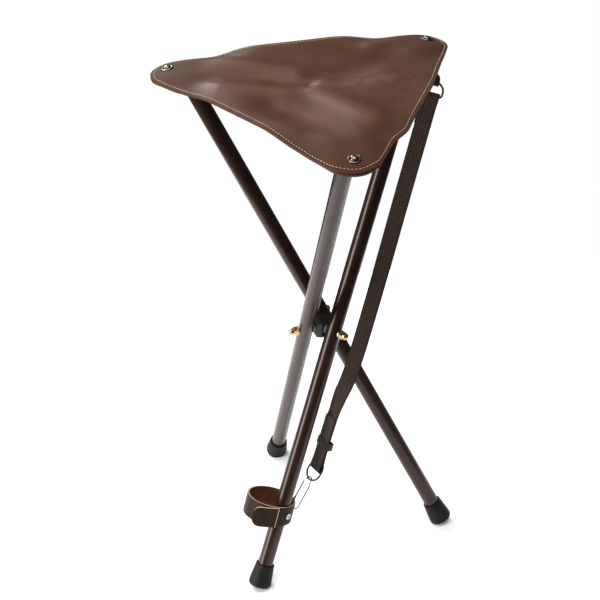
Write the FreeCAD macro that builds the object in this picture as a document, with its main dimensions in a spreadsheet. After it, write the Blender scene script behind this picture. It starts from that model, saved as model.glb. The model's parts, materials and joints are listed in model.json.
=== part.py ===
import FreeCAD, Part
import collections
import math
import os

import Sketcher

# Legs and their stance
AXIS_BACK = 19.5  # hub axis behind the middle of the footprint
PIVOT_REACH = 21.0  # hub axis to tube axis
LEAN_ANGLE = 26.3  # angle of an open leg from upright
TUBE_DIAMETER = 20.0  # leg tube outside
TUBE_WALL = 1.5  # leg tube wall
UPPER_RUN = 370.0  # pivot to the top end of the tube
LOWER_RUN = 361.0  # pivot to the sole along the leg
CORNER_PAST_ANGLE = 0.8  # seat corner round the hub past its leg's end

# Pivots
HUB_CUT = 3.4  # cut-off hub corner further out than a hub face
HUB_TALL = 20.0  # height of the hub block
HUB_ROUND = 2.0  # rounding of the hub's upright edges
STUD_DIAMETER = 6.0  # pivot stud
STUD_START = 4.5  # hub axis to the inner end of a stud
STUD_PLAY = 0.05  # radial play of a stud in its hole
BUSH_WALL = 1.45  # nylon bush wall
BUSH_PROUD = 0.1  # bush beyond the tube on each side
INNER_WASHER_DIAMETER = 14.0  # washer between hub and leg
INNER_WASHER_THICKNESS = 0.7  # washer between hub and leg
OUTER_WASHER_DIAMETER = 12.0  # washer under the cap nut
OUTER_WASHER_THICKNESS = 1.2  # washer under the cap nut
WASHER_GAP = 0.05  # gap on each side of a washer
NUT_ACROSS_FLATS = 10.0  # cap nut hexagon
NUT_HEXAGON_HEIGHT = 5.5  # cap nut hexagon
NUT_DOME_DIAMETER = 9.0  # cap nut dome
NUT_HEIGHT = 12.0  # cap nut over all
NUT_THREAD_DEPTH = 9.0  # blind thread of the cap nut
STUD_TIP_GAP = 0.5  # stud's end short of the blind thread's end

# Feet and top plugs
FOOT_DIAMETER = 30.0  # rubber foot at the sole
FOOT_COLLAR_DIAMETER = 24.5  # rubber foot at its mouth
FOOT_HEIGHT = 31.0  # rubber foot
FOOT_SOLE = 8.0  # rubber under the steel disc
FOOT_ROUND = 3.0  # rounding of the sole's edge
FOOT_RIM = 6.0  # upright rim of the foot above the sole
SOLE_WEAR = 2.3  # depth of the flat worn on the floor
FOOT_DISC_THICKNESS = 1.2  # steel disc under the tube end
PLUG_STEM = 14.0  # top plug inside the tube
PLUG_HEAD = 2.0  # top plug head
SLIP_FIT = 0.1  # radial gap of pushed-in pieces

# Leather seat
PANEL_THICKNESS = 3.0  # seat leather
PANEL_SAG = 5.0  # seat centre below the edge
PANEL_DROOP = 14.0  # seat corner tips below the edge
PANEL_CORNER_ROUND = 34.0  # corner radius of the seat
POCKET_THICKNESS = 2.4  # corner pocket leather
POCKET_INSET = 0.6  # pocket edge inside the seat edge
POCKET_BACK = 16.0  # pocket's straight edge inside the leg's end
POCKET_SLEEVE = 18.0  # length of the sleeve on the tube
LEATHER_GAP = 0.3  # gap between leather and what it lies on
LAYER_OVERHANG = 10.4  # leather beyond the seat corner before it is cut out
RIVET_PAST = 19.4  # corner rivet beyond the leg's end
TIP_PAST = 23.3  # seat corner tip beyond its rivet

# Folds of the taut leather: a line from start to end as seen from above, x and y from the hub axis,
# with the height of its crest, below the seat where it is a hollow, and how far it spreads
Fold = collections.namedtuple("Fold", "start end height spread")
SEAT_FOLDS = (
    Fold((-122, 90), (-20, 30), 4.6, 15),
    Fold((-142, 50), (-10, 4), -4.8, 14),
    Fold((-122, 16), (-45, -22), 4.0, 19),
    Fold((-4, -22), (46, -128), 4.6, 18),
    Fold((-60, -46), (-4, -140), -4.5, 22),
    Fold((85, 78), (138, 88), 3.0, 13),
    Fold((35, 10), (110, 50), -2.0, 20),
)
FOLD_FADE_FROM = 118.0  # folds begin to level out towards the corners
FOLD_FADE_TO = 147.0  # seat without folds from here to the corners
FOLD_EDGE = 30.0  # width along each edge where the folds level out

# Corner rivets
RIVET_HEAD_DIAMETER = 13.0  # rivet head
RIVET_HEAD_HEIGHT = 3.2  # rivet dome
RIVET_SHANK_DIAMETER = 4.2  # rivet shank
RIVET_BURR_DIAMETER = 8.6  # washer under the leather
RIVET_BURR_THICKNESS = 1.0  # washer under the leather
HOLE_SEAM_ANGLE = 50.0  # seam of a rivet hole, round from the corner's middle

# Strap rings, tab and webbing
RING_WIRE = 2.4  # ring wire
STRAP_WIDTH = 20.0  # webbing
STRAP_THICKNESS = 1.6  # webbing
RING_ROOM = 1.0  # ring wider than the webbing on each side
RING_SIDE = 6.4  # bar centre to the start of the bow
RING_CORNER = 3.0  # bend radius at the ends of a bar
TAB_ALONG = 69.0  # tab from the middle of its seat edge
TAB_WIDTH = 9.0  # leather tab
TAB_LEATHER = 2.0  # tab leather
TAB_DROP = 19.0  # seat top to the ring bow
TAB_OUT = 4.0  # ring bow outside the seat edge
TAB_ROOT = 22.0  # tab under the seat
LOOP_PLAY = 0.7  # radial room of a ring bar in the webbing loop
TAB_PLAY = 1.2  # radial room of the ring bow in the tab
BORE_OVERRUN = 5.0  # bore for ring wire beyond the rolled strap on each side
STRAP_FACING_ANGLE = 252.0  # compass direction that the webbing faces
STRAP_BOW = 6.0  # sideways bow of the hanging strap
STRAP_TWIST_ANGLE = 52.0  # twist at the lower end
TWIST_START = 70.0  # lower bar to the start of the twist
TWIST_END = 230.0  # lower bar to the end of the twist
STRAP_RETURN = 62.0  # webbing turned back above the lower bar
UPPER_TIP_ANGLE = 15.0  # upper ring leans back from the strap
LOWER_TIP_ANGLE = 22.0  # lower ring leans forward from the strap
SLIDER_WALL = 1.8  # strap slider
SLIDER_HEIGHT = 11.0  # strap slider along the strap
SLIDER_PLACE = 38.0  # lower bar to the slider's middle
SLIDER_GAP = 0.4  # slider clear of the webbing
SLIDER_SLACK = 1.2  # extra slider width for the bowed strap
SLIDER_ROUND = 0.8  # rounding of the slider's edges

# Closing belt and its clip
BELT_DROP = 255.0  # pivot to the belt along the leg
BELT_INSIDE = 30.0  # inner radius of the belt loop
BELT_THICKNESS = 2.6  # belt leather
BELT_WIDTH = 27.0  # belt band
BELT_LEAN_ANGLE = 3.0  # belt loop hangs from square to the leg
TONGUE_FROM_ANGLE = -100.0  # free end of the tongue round the loop
TONGUE_TO_ANGLE = -39.0  # folded end of the tongue round the loop
BELT_HOLE_DIAMETER = 4.0  # hole for the clip
BELT_HOLE_TURN_ANGLE = 40.0  # hole for the clip round the loop
BELT_HOLE_RISE = 4.0  # hole for the clip above the band's middle
EYELET_DIAMETER = 8.0  # hollow rivet flange
EYELET_BORE = 3.0  # hollow rivet bore
EYELET_SHANK_DIAMETER = 4.4  # hollow rivet shank
EYELET_FLANGE = 0.9  # hollow rivet flange
CLIP_OUT = 15.0  # lower bar from the leg along the pivot
CLIP_SIDE = 30.0  # lower bar from the leg, square to the pivot
CLIP_RISE = 68.0  # belt up to the lower bar along the leg
HOOK_WIRE_DIAMETER = 1.6  # snap hook wire
HOOK_HALF_WIDTH = 5.0  # snap hook, middle to each wire
HOOK_EYE = 3.2  # radius of the eye at the ring
EYE_OPENING_ANGLE = 30.0  # ends of the eye below its middle, as an angle
HOOK_SHOULDER = 9.6  # eye's middle down to the hook's full width
GATE_SLEEVE_DIAMETER = 2.6  # sleeve on the gate's end
GATE_SLEEVE_LENGTH = 6.0  # sleeve on the gate's end
GATE_GAP = 0.4  # gate clear of the hook

doc = FreeCAD.newDocument("tripod_stool")
sheet = doc.addObject("Spreadsheet::Sheet", "sizes")
sheet_rows = []


def add_row(alias, content, note):
    row = len(sheet_rows) + 1
    sheet_rows.append(alias)
    sheet.set(f"A{row}", note)
    sheet.set(f"B{row}", content)
    sheet.setAlias(f"B{row}", alias)


def put_on_sheet(**values):
    """Put driving dimensions on the sheet, in millimetres or degrees."""
    for alias, value in values.items():
        add_row(alias, str(value), alias.replace("_", " "))


def derive(alias, formula, note):
    """Put a dimension on the sheet that follows from others."""
    add_row(alias, f"={formula}", note)


put_on_sheet(
    axis_back=AXIS_BACK, pivot_reach=PIVOT_REACH, lean=LEAN_ANGLE, tube_diameter=TUBE_DIAMETER,
    tube_wall=TUBE_WALL, upper_run=UPPER_RUN, lower_run=LOWER_RUN, corner_past=CORNER_PAST_ANGLE,
)
put_on_sheet(
    hub_cut=HUB_CUT, hub_tall=HUB_TALL, hub_round=HUB_ROUND, stud_diameter=STUD_DIAMETER,
    stud_start=STUD_START, stud_play=STUD_PLAY, bush_wall=BUSH_WALL, bush_proud=BUSH_PROUD,
    inner_washer_diameter=INNER_WASHER_DIAMETER, inner_washer_thickness=INNER_WASHER_THICKNESS,
    outer_washer_diameter=OUTER_WASHER_DIAMETER, outer_washer_thickness=OUTER_WASHER_THICKNESS,
    washer_gap=WASHER_GAP, nut_across_flats=NUT_ACROSS_FLATS, nut_hexagon_height=NUT_HEXAGON_HEIGHT,
    nut_dome_diameter=NUT_DOME_DIAMETER, nut_height=NUT_HEIGHT, nut_thread_depth=NUT_THREAD_DEPTH,
    stud_tip_gap=STUD_TIP_GAP,
)
put_on_sheet(
    foot_diameter=FOOT_DIAMETER, foot_collar_diameter=FOOT_COLLAR_DIAMETER, foot_height=FOOT_HEIGHT,
    foot_sole=FOOT_SOLE, foot_round=FOOT_ROUND, foot_rim=FOOT_RIM, sole_wear=SOLE_WEAR,
    foot_disc_thickness=FOOT_DISC_THICKNESS, plug_stem=PLUG_STEM, plug_head=PLUG_HEAD,
    slip_fit=SLIP_FIT,
)
put_on_sheet(
    panel_thickness=PANEL_THICKNESS, panel_sag=PANEL_SAG, panel_droop=PANEL_DROOP,
    panel_corner_round=PANEL_CORNER_ROUND, pocket_thickness=POCKET_THICKNESS,
    pocket_inset=POCKET_INSET, pocket_back=POCKET_BACK, pocket_sleeve=POCKET_SLEEVE,
    leather_gap=LEATHER_GAP, rivet_past=RIVET_PAST, tip_past=TIP_PAST,
)
put_on_sheet(
    rivet_head_diameter=RIVET_HEAD_DIAMETER, rivet_head_height=RIVET_HEAD_HEIGHT,
    rivet_shank_diameter=RIVET_SHANK_DIAMETER, rivet_burr_diameter=RIVET_BURR_DIAMETER,
    rivet_burr_thickness=RIVET_BURR_THICKNESS,
)
put_on_sheet(
    ring_wire=RING_WIRE, strap_width=STRAP_WIDTH, strap_thickness=STRAP_THICKNESS,
    ring_room=RING_ROOM, ring_side=RING_SIDE, ring_corner=RING_CORNER, tab_along=TAB_ALONG,
    tab_width=TAB_WIDTH, tab_leather=TAB_LEATHER, tab_drop=TAB_DROP, tab_out=TAB_OUT,
    tab_root=TAB_ROOT, loop_play=LOOP_PLAY, tab_play=TAB_PLAY, strap_facing=STRAP_FACING_ANGLE,
    strap_bow=STRAP_BOW, strap_twist=STRAP_TWIST_ANGLE, twist_start=TWIST_START, twist_end=TWIST_END,
    strap_return=STRAP_RETURN, upper_tip=UPPER_TIP_ANGLE, lower_tip=LOWER_TIP_ANGLE, slider_wall=SLIDER_WALL,
    slider_height=SLIDER_HEIGHT, slider_place=SLIDER_PLACE, slider_gap=SLIDER_GAP,
    slider_slack=SLIDER_SLACK, slider_round=SLIDER_ROUND,
)
put_on_sheet(
    belt_drop=BELT_DROP, belt_inside=BELT_INSIDE, belt_thickness=BELT_THICKNESS,
    belt_width=BELT_WIDTH, belt_lean=BELT_LEAN_ANGLE,
    tongue_from=TONGUE_FROM_ANGLE, tongue_to=TONGUE_TO_ANGLE,
    belt_hole_diameter=BELT_HOLE_DIAMETER, belt_hole_turn=BELT_HOLE_TURN_ANGLE,
    belt_hole_rise=BELT_HOLE_RISE, eyelet_diameter=EYELET_DIAMETER, eyelet_bore=EYELET_BORE,
    eyelet_shank_diameter=EYELET_SHANK_DIAMETER, eyelet_flange=EYELET_FLANGE, clip_out=CLIP_OUT,
    clip_side=CLIP_SIDE, clip_rise=CLIP_RISE, hook_wire_diameter=HOOK_WIRE_DIAMETER,
    hook_half_width=HOOK_HALF_WIDTH, hook_eye=HOOK_EYE, eye_opening=EYE_OPENING_ANGLE,
    hook_shoulder=HOOK_SHOULDER, gate_sleeve_diameter=GATE_SLEEVE_DIAMETER,
    gate_sleeve_length=GATE_SLEEVE_LENGTH, gate_gap=GATE_GAP,
)

# What follows for the legs
derive("leg_out", "upper_run * sin(lean)", "top end of a leg, square to its stud")
derive(
    "corner_turn", "atan2(leg_out; pivot_reach) / 1 deg + corner_past",
    "pivot round to its seat corner")
derive("leg_top_reach", "sqrt(pivot_reach ^ 2 + leg_out ^ 2)", "hub axis to the top end of a leg")

# What follows for the pivots
derive("bush_diameter", "stud_diameter + 2 * stud_play + 2 * bush_wall", "nylon bush outside")
derive("leg_face", "tube_diameter / 2 + bush_proud", "tube axis to the end of its bush")
derive("inner_room", "inner_washer_thickness + 2 * washer_gap", "hub face to the end of a bush")
derive("hub_flat", "pivot_reach - leg_face - inner_room", "hub axis to a hub face")
derive("hub_corner", "hub_flat + hub_cut", "hub axis to a cut-off hub corner")

# What follows for the feet
derive("sole_run", "(lower_run - foot_round) * cos(lean) + foot_round", "pivot down to the sole's middle")
derive("sole_edge", "(foot_diameter / 2 - foot_round) * sin(lean)", "sole's edge below its middle")
derive("hub_height", "sole_run + sole_edge - sole_wear", "height of the pivots above the floor")

# What follows for the seat's outline
derive("rivet_reach", "leg_top_reach + rivet_past", "hub axis to a corner rivet")
derive("panel_tip", "rivet_reach + tip_past", "hub axis to a seat corner tip")
derive("panel_edge", "(panel_tip + panel_corner_round) / 2", "hub axis to a seat edge")

# Where the seat rests on the highest point of each top plug
derive(
    "rest_out", "(upper_run + plug_head) * sin(lean) - (tube_diameter / 2 - plug_head) * cos(lean)",
    "highest point of a plug, square to its stud")
derive(
    "rest_up", "(upper_run + plug_head) * cos(lean) + (tube_diameter / 2 - plug_head) * sin(lean)",
    "highest point of a plug above the pivots")
derive("rest_reach", "sqrt(pivot_reach ^ 2 + rest_out ^ 2)", "hub axis to the highest point of a plug")
derive(
    "rest_share", "(rest_reach - panel_edge) / (panel_tip - panel_edge)",
    "its share of the drooping corner")
derive("rest_droop", "panel_droop * rest_share ^ 2", "seat there below the edge")
derive(
    "panel_edge_height", "hub_height + rest_up + leather_gap + panel_thickness + rest_droop",
    "top of the seat at the middle of an edge")

# What follows for the rings
derive("ring_inside", "strap_width + 2 * ring_room", "inner width of a ring")
derive("ring_depth", "ring_side + (ring_inside + ring_wire) / 2", "bar centre to bow centre of a ring")

doc.recompute()


def mm(alias):
    """Value of a dimension on the sheet."""
    return float(sheet.get(alias))


UP = FreeCAD.Vector(0, 0, 1)
EAST = FreeCAD.Vector(1, 0, 0)
NORTH = FreeCAD.Vector(0, 1, 0)
LEGS = ("front", "right", "left")
FRONT_CORNER = 270.0
LAYER_STEPS = 12
FOLD_STEPS = 34
STRAP_STEPS = 20
finished = []


def finish(item, label):
    """Give a sub-part its node name and put it on the list that is written."""
    item.Label = label
    finished.append(item)
    return item


def bind(item, **expressions):
    for name, expression in expressions.items():
        item.setExpression(name, expression)
    return item


# Frames of the stool


def pivot_turn(index):
    return FRONT_CORNER - mm("corner_turn") + 120.0 * index


def hub_frame(turn):
    """Frame at the hub's middle with X along the given direction."""
    middle = FreeCAD.Vector(0, mm("axis_back"), mm("hub_height"))
    return FreeCAD.Placement(middle, FreeCAD.Rotation(UP, turn))


def floor_frame(turn):
    middle = FreeCAD.Vector(0, mm("axis_back"), 0)
    return FreeCAD.Placement(middle, FreeCAD.Rotation(UP, turn))


def leg_frame(index):
    """Frame at a leg's pivot: X along the stud, Z up along the tube."""
    out = FreeCAD.Vector(mm("pivot_reach"), 0, 0)
    tilt = FreeCAD.Rotation(EAST, -mm("lean"))
    return hub_frame(pivot_turn(index)) * FreeCAD.Placement(out, tilt)


def shifted(x, y, z):
    return FreeCAD.Placement(FreeCAD.Vector(x, y, z), FreeCAD.Rotation())


def along_x(x, z=0.0):
    """Turn a cylinder's axis onto X, starting at x."""
    return FreeCAD.Placement(FreeCAD.Vector(x, 0, z), FreeCAD.Rotation(NORTH, 90))


def axes_frame(origin, x_axis, y_axis, z_axis):
    return FreeCAD.Placement(origin, FreeCAD.Rotation(x_axis, y_axis, z_axis, "ZXY"))


# Solids from primitives and sketches


def cylinder(name, radius, height, place):
    item = doc.addObject("Part::Cylinder", name)
    bind(item, Radius=radius, Height=height)
    item.Placement = place
    return item


def cut(name, base, tool):
    item = doc.addObject("Part::Cut", name)
    item.Base = base
    item.Tool = tool
    return item


def common(name, base, tool):
    item = doc.addObject("Part::Common", name)
    item.Base = base
    item.Tool = tool
    return item


def fuse(name, pieces):
    item = doc.addObject("Part::MultiFuse", name)
    item.Shapes = pieces
    return item


def group(name, pieces):
    item = doc.addObject("Part::Compound", name)
    item.Links = pieces
    return item


def shape_item(name, shape, place=None):
    item = doc.addObject("Part::Feature", name)
    item.Shape = shape
    if place is not None:
        item.Placement = place
    return item


def ring_disc(name, outer, inner, thickness, place):
    """Flat ring: a washer, a sleeve or a bush."""
    body = cylinder(name + "_outside", outer, thickness, place)
    bore = cylinder(name + "_bore", inner, thickness, place)
    return cut(name, body, bore)


def origin_plane(body, role):
    return [item for item in body.Origin.OriginFeatures if item.Role == role][0]


def closed_outline(body, role, name, points):
    """Sketch a closed outline whose corners are pairs of sheet expressions."""
    sketch = body.newObject("Sketcher::SketchObject", name)
    sketch.AttachmentSupport = [(origin_plane(body, role), "")]
    sketch.MapMode = "FlatFace"
    doc.recompute()
    places = []
    for across, upward in points:
        x = float(sketch.evalExpression(across))
        y = float(sketch.evalExpression(upward))
        places.append(FreeCAD.Vector(x, y, 0))
    count = len(places)
    for index in range(count):
        line = Part.LineSegment(places[index], places[(index + 1) % count])
        sketch.addGeometry(line, False)
    for index in range(count):
        joined = Sketcher.Constraint("Coincident", index, 2, (index + 1) % count, 1)
        sketch.addConstraint(joined)
    for index, (across, upward) in enumerate(points):
        pin_corner(sketch, index, "DistanceX", -2, places[index].x, across)
        pin_corner(sketch, index, "DistanceY", -1, places[index].y, upward)
    return sketch


def pin_corner(sketch, index, kind, axis, value, expression):
    """Hold one coordinate of a sketch corner, on an axis where it is zero."""
    if abs(value) < 1e-9:
        sketch.addConstraint(Sketcher.Constraint("PointOnObject", index, 1, axis))
        return
    number = sketch.addConstraint(Sketcher.Constraint(kind, -1, 1, index, 1, value))
    label = f"{kind}{index}"
    sketch.renameConstraint(number, label)
    sketch.setExpression(f"Constraints.{label}", expression)


def turned_body(name, points, place):
    """Body turned about Z from a half profile of radius and height pairs."""
    body = doc.addObject("PartDesign::Body", name)
    sketch = closed_outline(body, "XZ_Plane", name + "_profile", points)
    turn = body.newObject("PartDesign::Revolution", name + "_turned")
    turn.Profile = sketch
    turn.ReferenceAxis = (sketch, ["V_Axis"])
    turn.Angle = 360
    doc.recompute()
    body.Placement = place
    return body


def round_edges(body, name, radius, chosen):
    """Round the edges of a body's tip that the test picks."""
    base = body.Tip
    picked = []
    for number, edge in enumerate(base.Shape.Edges, start=1):
        if chosen(edge):
            picked.append(f"Edge{number}")
    item = body.newObject("PartDesign::Fillet", name)
    item.Base = (base, picked)
    bind(item, Radius=radius)
    doc.recompute()
    return item


# Hub and pivots


def hub_block():
    """Moulded block with a flat face for each leg and three stud holes."""
    body = doc.addObject("PartDesign::Body", "hub_body")
    half_face = "((sizes.hub_corner - sizes.hub_flat * cos(60 deg)) / sin(60 deg))"
    corners = []
    for index in range(3):
        turn = f"{120 * index} deg"
        for sign in ("-", "+"):
            opposite = "+" if sign == "-" else "-"
            x = f"sizes.hub_flat * cos({turn}) {opposite} {half_face} * sin({turn})"
            y = f"sizes.hub_flat * sin({turn}) {sign} {half_face} * cos({turn})"
            corners.append((x, y))
    sketch = closed_outline(body, "XY_Plane", "hub_outline", corners)
    pad = body.newObject("PartDesign::Pad", "hub_pad")
    pad.Profile = sketch
    pad.Midplane = True
    bind(pad, Length="sizes.hub_tall")
    doc.recompute()
    round_edges(body, "hub_rounding", "sizes.hub_round", is_upright)
    solid_volume = body.Shape.Volume
    bore_sketch = body.newObject("Sketcher::SketchObject", "hub_bore_circle")
    bore_sketch.AttachmentSupport = [(origin_plane(body, "YZ_Plane"), "")]
    bore_sketch.MapMode = "FlatFace"
    circle = Part.Circle(FreeCAD.Vector(0, 0, 0), UP, mm("stud_diameter") / 2)
    bore_sketch.addGeometry(circle, False)
    bore_sketch.addConstraint(Sketcher.Constraint("Coincident", 0, 3, -1, 1))
    radius = Sketcher.Constraint("Radius", 0, mm("stud_diameter") / 2)
    number = bore_sketch.addConstraint(radius)
    bore_sketch.renameConstraint(number, "bore")
    bore_sketch.setExpression("Constraints.bore", "sizes.stud_diameter / 2 + sizes.stud_play")
    bore = body.newObject("PartDesign::Pocket", "hub_bore")
    bore.Profile = bore_sketch
    bore.Reversed = True
    bind(bore, Length="sizes.hub_flat + sizes.hub_round")
    doc.recompute()
    pattern = body.newObject("PartDesign::PolarPattern", "hub_bores")
    pattern.Originals = [bore]
    pattern.Axis = (origin_plane(body, "Z_Axis"), [""])
    pattern.Angle = 360
    pattern.Occurrences = 3
    body.Tip = pattern
    doc.recompute()
    assert body.Shape.Volume < solid_volume - 3 * mm("hub_flat"), "stud holes are missing"
    body.Placement = hub_frame(pivot_turn(0))
    return finish(body, "hub_block")


def is_upright(edge):
    first, last = edge.Vertexes[0].Point, edge.Vertexes[-1].Point
    return abs(first.z - last.z) > 1.0 and first.distanceToPoint(last) - abs(first.z - last.z) < 1e-6


def pivot_hardware():
    """Studs, washers and cap nuts, three of each on the hub."""
    studs, inner_washers, outer_washers, nuts = [], [], [], []
    bore = "sizes.stud_diameter / 2 + sizes.stud_play"
    washer_start = mm("hub_flat") + mm("washer_gap")
    outer_start = mm("pivot_reach") + mm("leg_face") + mm("washer_gap")
    nut_start = outer_start + mm("outer_washer_thickness")
    nut_face = "sizes.pivot_reach + sizes.leg_face + sizes.washer_gap + sizes.outer_washer_thickness"
    stud_end = f"{nut_face} + sizes.nut_thread_depth - sizes.stud_tip_gap"
    stud_length = f"{stud_end} - sizes.stud_start"
    for index, leg in enumerate(LEGS):
        frame = hub_frame(pivot_turn(index))
        stud_place = frame * along_x(mm("stud_start"))
        studs.append(cylinder(f"stud_{leg}", "sizes.stud_diameter / 2", stud_length, stud_place))
        inner_washers.append(ring_disc(
            f"inner_washer_{leg}", "sizes.inner_washer_diameter / 2", bore,
            "sizes.inner_washer_thickness", frame * along_x(washer_start)))
        outer_washers.append(ring_disc(
            f"outer_washer_{leg}", "sizes.outer_washer_diameter / 2", bore,
            "sizes.outer_washer_thickness", frame * along_x(outer_start)))
        nuts.append(cap_nut(leg, frame * along_x(nut_start)))
    finish(group("studs", studs), "pivot_studs")
    finish(group("inner_washer_set", inner_washers), "inner_washers")
    finish(group("outer_washer_set", outer_washers), "outer_washers")
    finish(group("nut_set", nuts), "cap_nuts")


def cap_nut(leg, place):
    """Hexagon with a domed cap over a blind thread."""
    hexagon = doc.addObject("Part::Prism", f"nut_hexagon_{leg}")
    hexagon.Polygon = 6
    bind(hexagon, Circumradius="sizes.nut_across_flats / 2 / cos(30 deg)")
    bind(hexagon, Height="sizes.nut_hexagon_height")
    hexagon.Placement = place
    barrel_height = "sizes.nut_height - sizes.nut_dome_diameter / 2"
    barrel = cylinder(f"nut_barrel_{leg}", "sizes.nut_dome_diameter / 2", barrel_height, place)
    dome = doc.addObject("Part::Sphere", f"nut_dome_{leg}")
    bind(dome, Radius="sizes.nut_dome_diameter / 2")
    dome.Placement = place * shifted(0, 0, mm("nut_height") - mm("nut_dome_diameter") / 2)
    whole = fuse(f"nut_whole_{leg}", [hexagon, barrel, dome])
    thread_radius = "sizes.stud_diameter / 2 + sizes.stud_play"
    thread = cylinder(f"nut_thread_{leg}", thread_radius, "sizes.nut_thread_depth", place)
    return cut(f"cap_nut_{leg}", whole, thread)


# Legs


def leg_tube(index, leg):
    """Tube with a cross hole for the pivot bush."""
    frame = leg_frame(index)
    length = "sizes.upper_run + sizes.lower_run - sizes.foot_sole - sizes.foot_disc_thickness"
    low_end = mm("foot_sole") + mm("foot_disc_thickness") - mm("lower_run")
    place = frame * shifted(0, 0, low_end)
    outside = cylinder(f"tube_outside_{leg}", "sizes.tube_diameter / 2", length, place)
    bore = cylinder(f"tube_bore_{leg}", "sizes.tube_diameter / 2 - sizes.tube_wall", length, place)
    hollow = cut(f"tube_hollow_{leg}", outside, bore)
    cross_start = frame * along_x(-mm("tube_diameter"))
    cross_hole = cylinder(
        f"tube_cross_hole_{leg}", "sizes.bush_diameter / 2 + sizes.stud_play",
        "2 * sizes.tube_diameter", cross_start)
    tube = cut(f"tube_{leg}", hollow, cross_hole)
    if leg == "right":
        eyelet_hole = cylinder(
            "tube_eyelet_hole", "sizes.eyelet_shank_diameter / 2 + sizes.slip_fit",
            "sizes.tube_diameter", frame * along_x(0, -mm("belt_drop")))
        tube = cut("tube_right_drilled", tube, eyelet_hole)
    return finish(tube, f"leg_tube_{leg}")


def pivot_bush(index, leg):
    bush = ring_disc(
        f"bush_{leg}", "sizes.bush_diameter / 2", "sizes.stud_diameter / 2 + sizes.stud_play",
        "2 * sizes.leg_face", leg_frame(index) * along_x(-mm("leg_face")))
    return finish(bush, f"pivot_bush_{leg}")


def rubber_foot(index, leg):
    """Tapered rubber foot with a socket for the tube, worn flat on the floor."""
    socket = "sizes.tube_diameter / 2 + sizes.slip_fit"
    profile = [
        ("0", "-sizes.lower_run"),
        ("sizes.foot_diameter / 2", "-sizes.lower_run"),
        ("sizes.foot_diameter / 2", "-sizes.lower_run + sizes.foot_rim"),
        ("sizes.foot_collar_diameter / 2", "-sizes.lower_run + sizes.foot_height"),
        (socket, "-sizes.lower_run + sizes.foot_height"),
        (socket, "-sizes.lower_run + sizes.foot_sole"),
        ("0", "-sizes.lower_run + sizes.foot_sole"),
    ]
    body = turned_body(f"foot_body_{leg}", profile, leg_frame(index))
    bottom = -mm("lower_run")
    widest = mm("foot_diameter") / 2

    def at_sole_edge(edge):
        point = edge.Vertexes[0].Point
        flat = max(abs(vertex.Z - bottom) for vertex in edge.Vertexes) < 1e-6
        return flat and edge.Length > math.pi * widest and abs(point.z - bottom) < 1e-6

    round_edges(body, f"foot_rounding_{leg}", "sizes.foot_round", at_sole_edge)
    ground = doc.addObject("Part::Box", f"ground_{leg}")
    bind(ground, Length="4 * sizes.lower_run", Width="4 * sizes.lower_run", Height="sizes.foot_height")
    ground.Placement = shifted(-2 * mm("lower_run"), -2 * mm("lower_run"), -mm("foot_height"))
    return finish(cut(f"foot_{leg}", body, ground), f"rubber_foot_{leg}")


def foot_disc(index, leg):
    place = leg_frame(index) * shifted(0, 0, mm("foot_sole") - mm("lower_run"))
    radius = "sizes.tube_diameter / 2"
    disc = cylinder(f"disc_{leg}", radius, "sizes.foot_disc_thickness", place)
    return finish(disc, f"foot_disc_{leg}")


def top_plug(index, leg):
    """Push-in plug that rounds off the tube's top end under the leather."""
    stem = "sizes.tube_diameter / 2 - sizes.tube_wall - sizes.slip_fit"
    profile = [
        ("0", "sizes.upper_run - sizes.plug_stem"),
        (stem, "sizes.upper_run - sizes.plug_stem"),
        (stem, "sizes.upper_run"),
        ("sizes.tube_diameter / 2", "sizes.upper_run"),
        ("sizes.tube_diameter / 2 - sizes.plug_head", "sizes.upper_run + sizes.plug_head"),
        ("0", "sizes.upper_run + sizes.plug_head"),
    ]
    return finish(turned_body(f"plug_body_{leg}", profile, leg_frame(index)), f"top_plug_{leg}")


# Leather seat


def panel_height(reach):
    """Top of the seat leather at a distance from the hub axis."""
    edge = mm("panel_edge")
    if reach < edge:
        return mm("panel_edge_height") - mm("panel_sag") * (1 - (reach / edge) ** 2) ** 2
    share = (reach - edge) / (mm("panel_tip") - edge)
    return mm("panel_edge_height") - mm("panel_droop") * share ** 2


def panel_slope(reach):
    """Downward slope of the seat leather beyond its edge line, in degrees."""
    run = mm("panel_tip") - mm("panel_edge")
    slope = 2 * mm("panel_droop") * (reach - mm("panel_edge")) / run ** 2
    return math.degrees(math.atan(slope))


def eased(value, low, high):
    """0 up to low, 1 from high on, and an even rise between them."""
    share = min(1.0, max(0.0, (value - low) / (high - low)))
    return share * share * (3 - 2 * share)


def fold_height(spot):
    """Folds of the seat leather above its plain form at a spot from the hub axis."""
    total = 0.0
    for fold in SEAT_FOLDS:
        start = FreeCAD.Vector(*fold.start, 0)
        way = FreeCAD.Vector(*fold.end, 0) - start
        share = min(1.0, max(0.0, (spot - start).dot(way) / way.dot(way)))
        away = (spot - start - way * share).Length
        total += fold.height * math.exp(-((away / fold.spread) ** 2))
    inward = []
    for index in range(3):
        side = floor_frame(FRONT_CORNER + 60 + 120 * index).Rotation.multVec(EAST)
        inward.append(mm("panel_edge") - spot.dot(side))
    level = 1 - eased(spot.Length, FOLD_FADE_FROM, FOLD_FADE_TO)
    return total * level * eased(min(inward), 0, FOLD_EDGE)


def folded_layer(thickness):
    """Square sheet that follows the seat's height with its folds."""
    furthest = mm("panel_tip") + LAYER_OVERHANG
    places = [furthest * (2 * step / FOLD_STEPS - 1) for step in range(FOLD_STEPS + 1)]
    rows = []
    for x in places:
        spots = [FreeCAD.Vector(x, y, 0) for y in places]
        rows.append([spot + UP * (panel_height(spot.Length) + fold_height(spot)) for spot in spots])
    surface = Part.BSplineSurface()
    surface.interpolate(rows)
    return surface.toShape().extrude(UP * -thickness)


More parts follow.
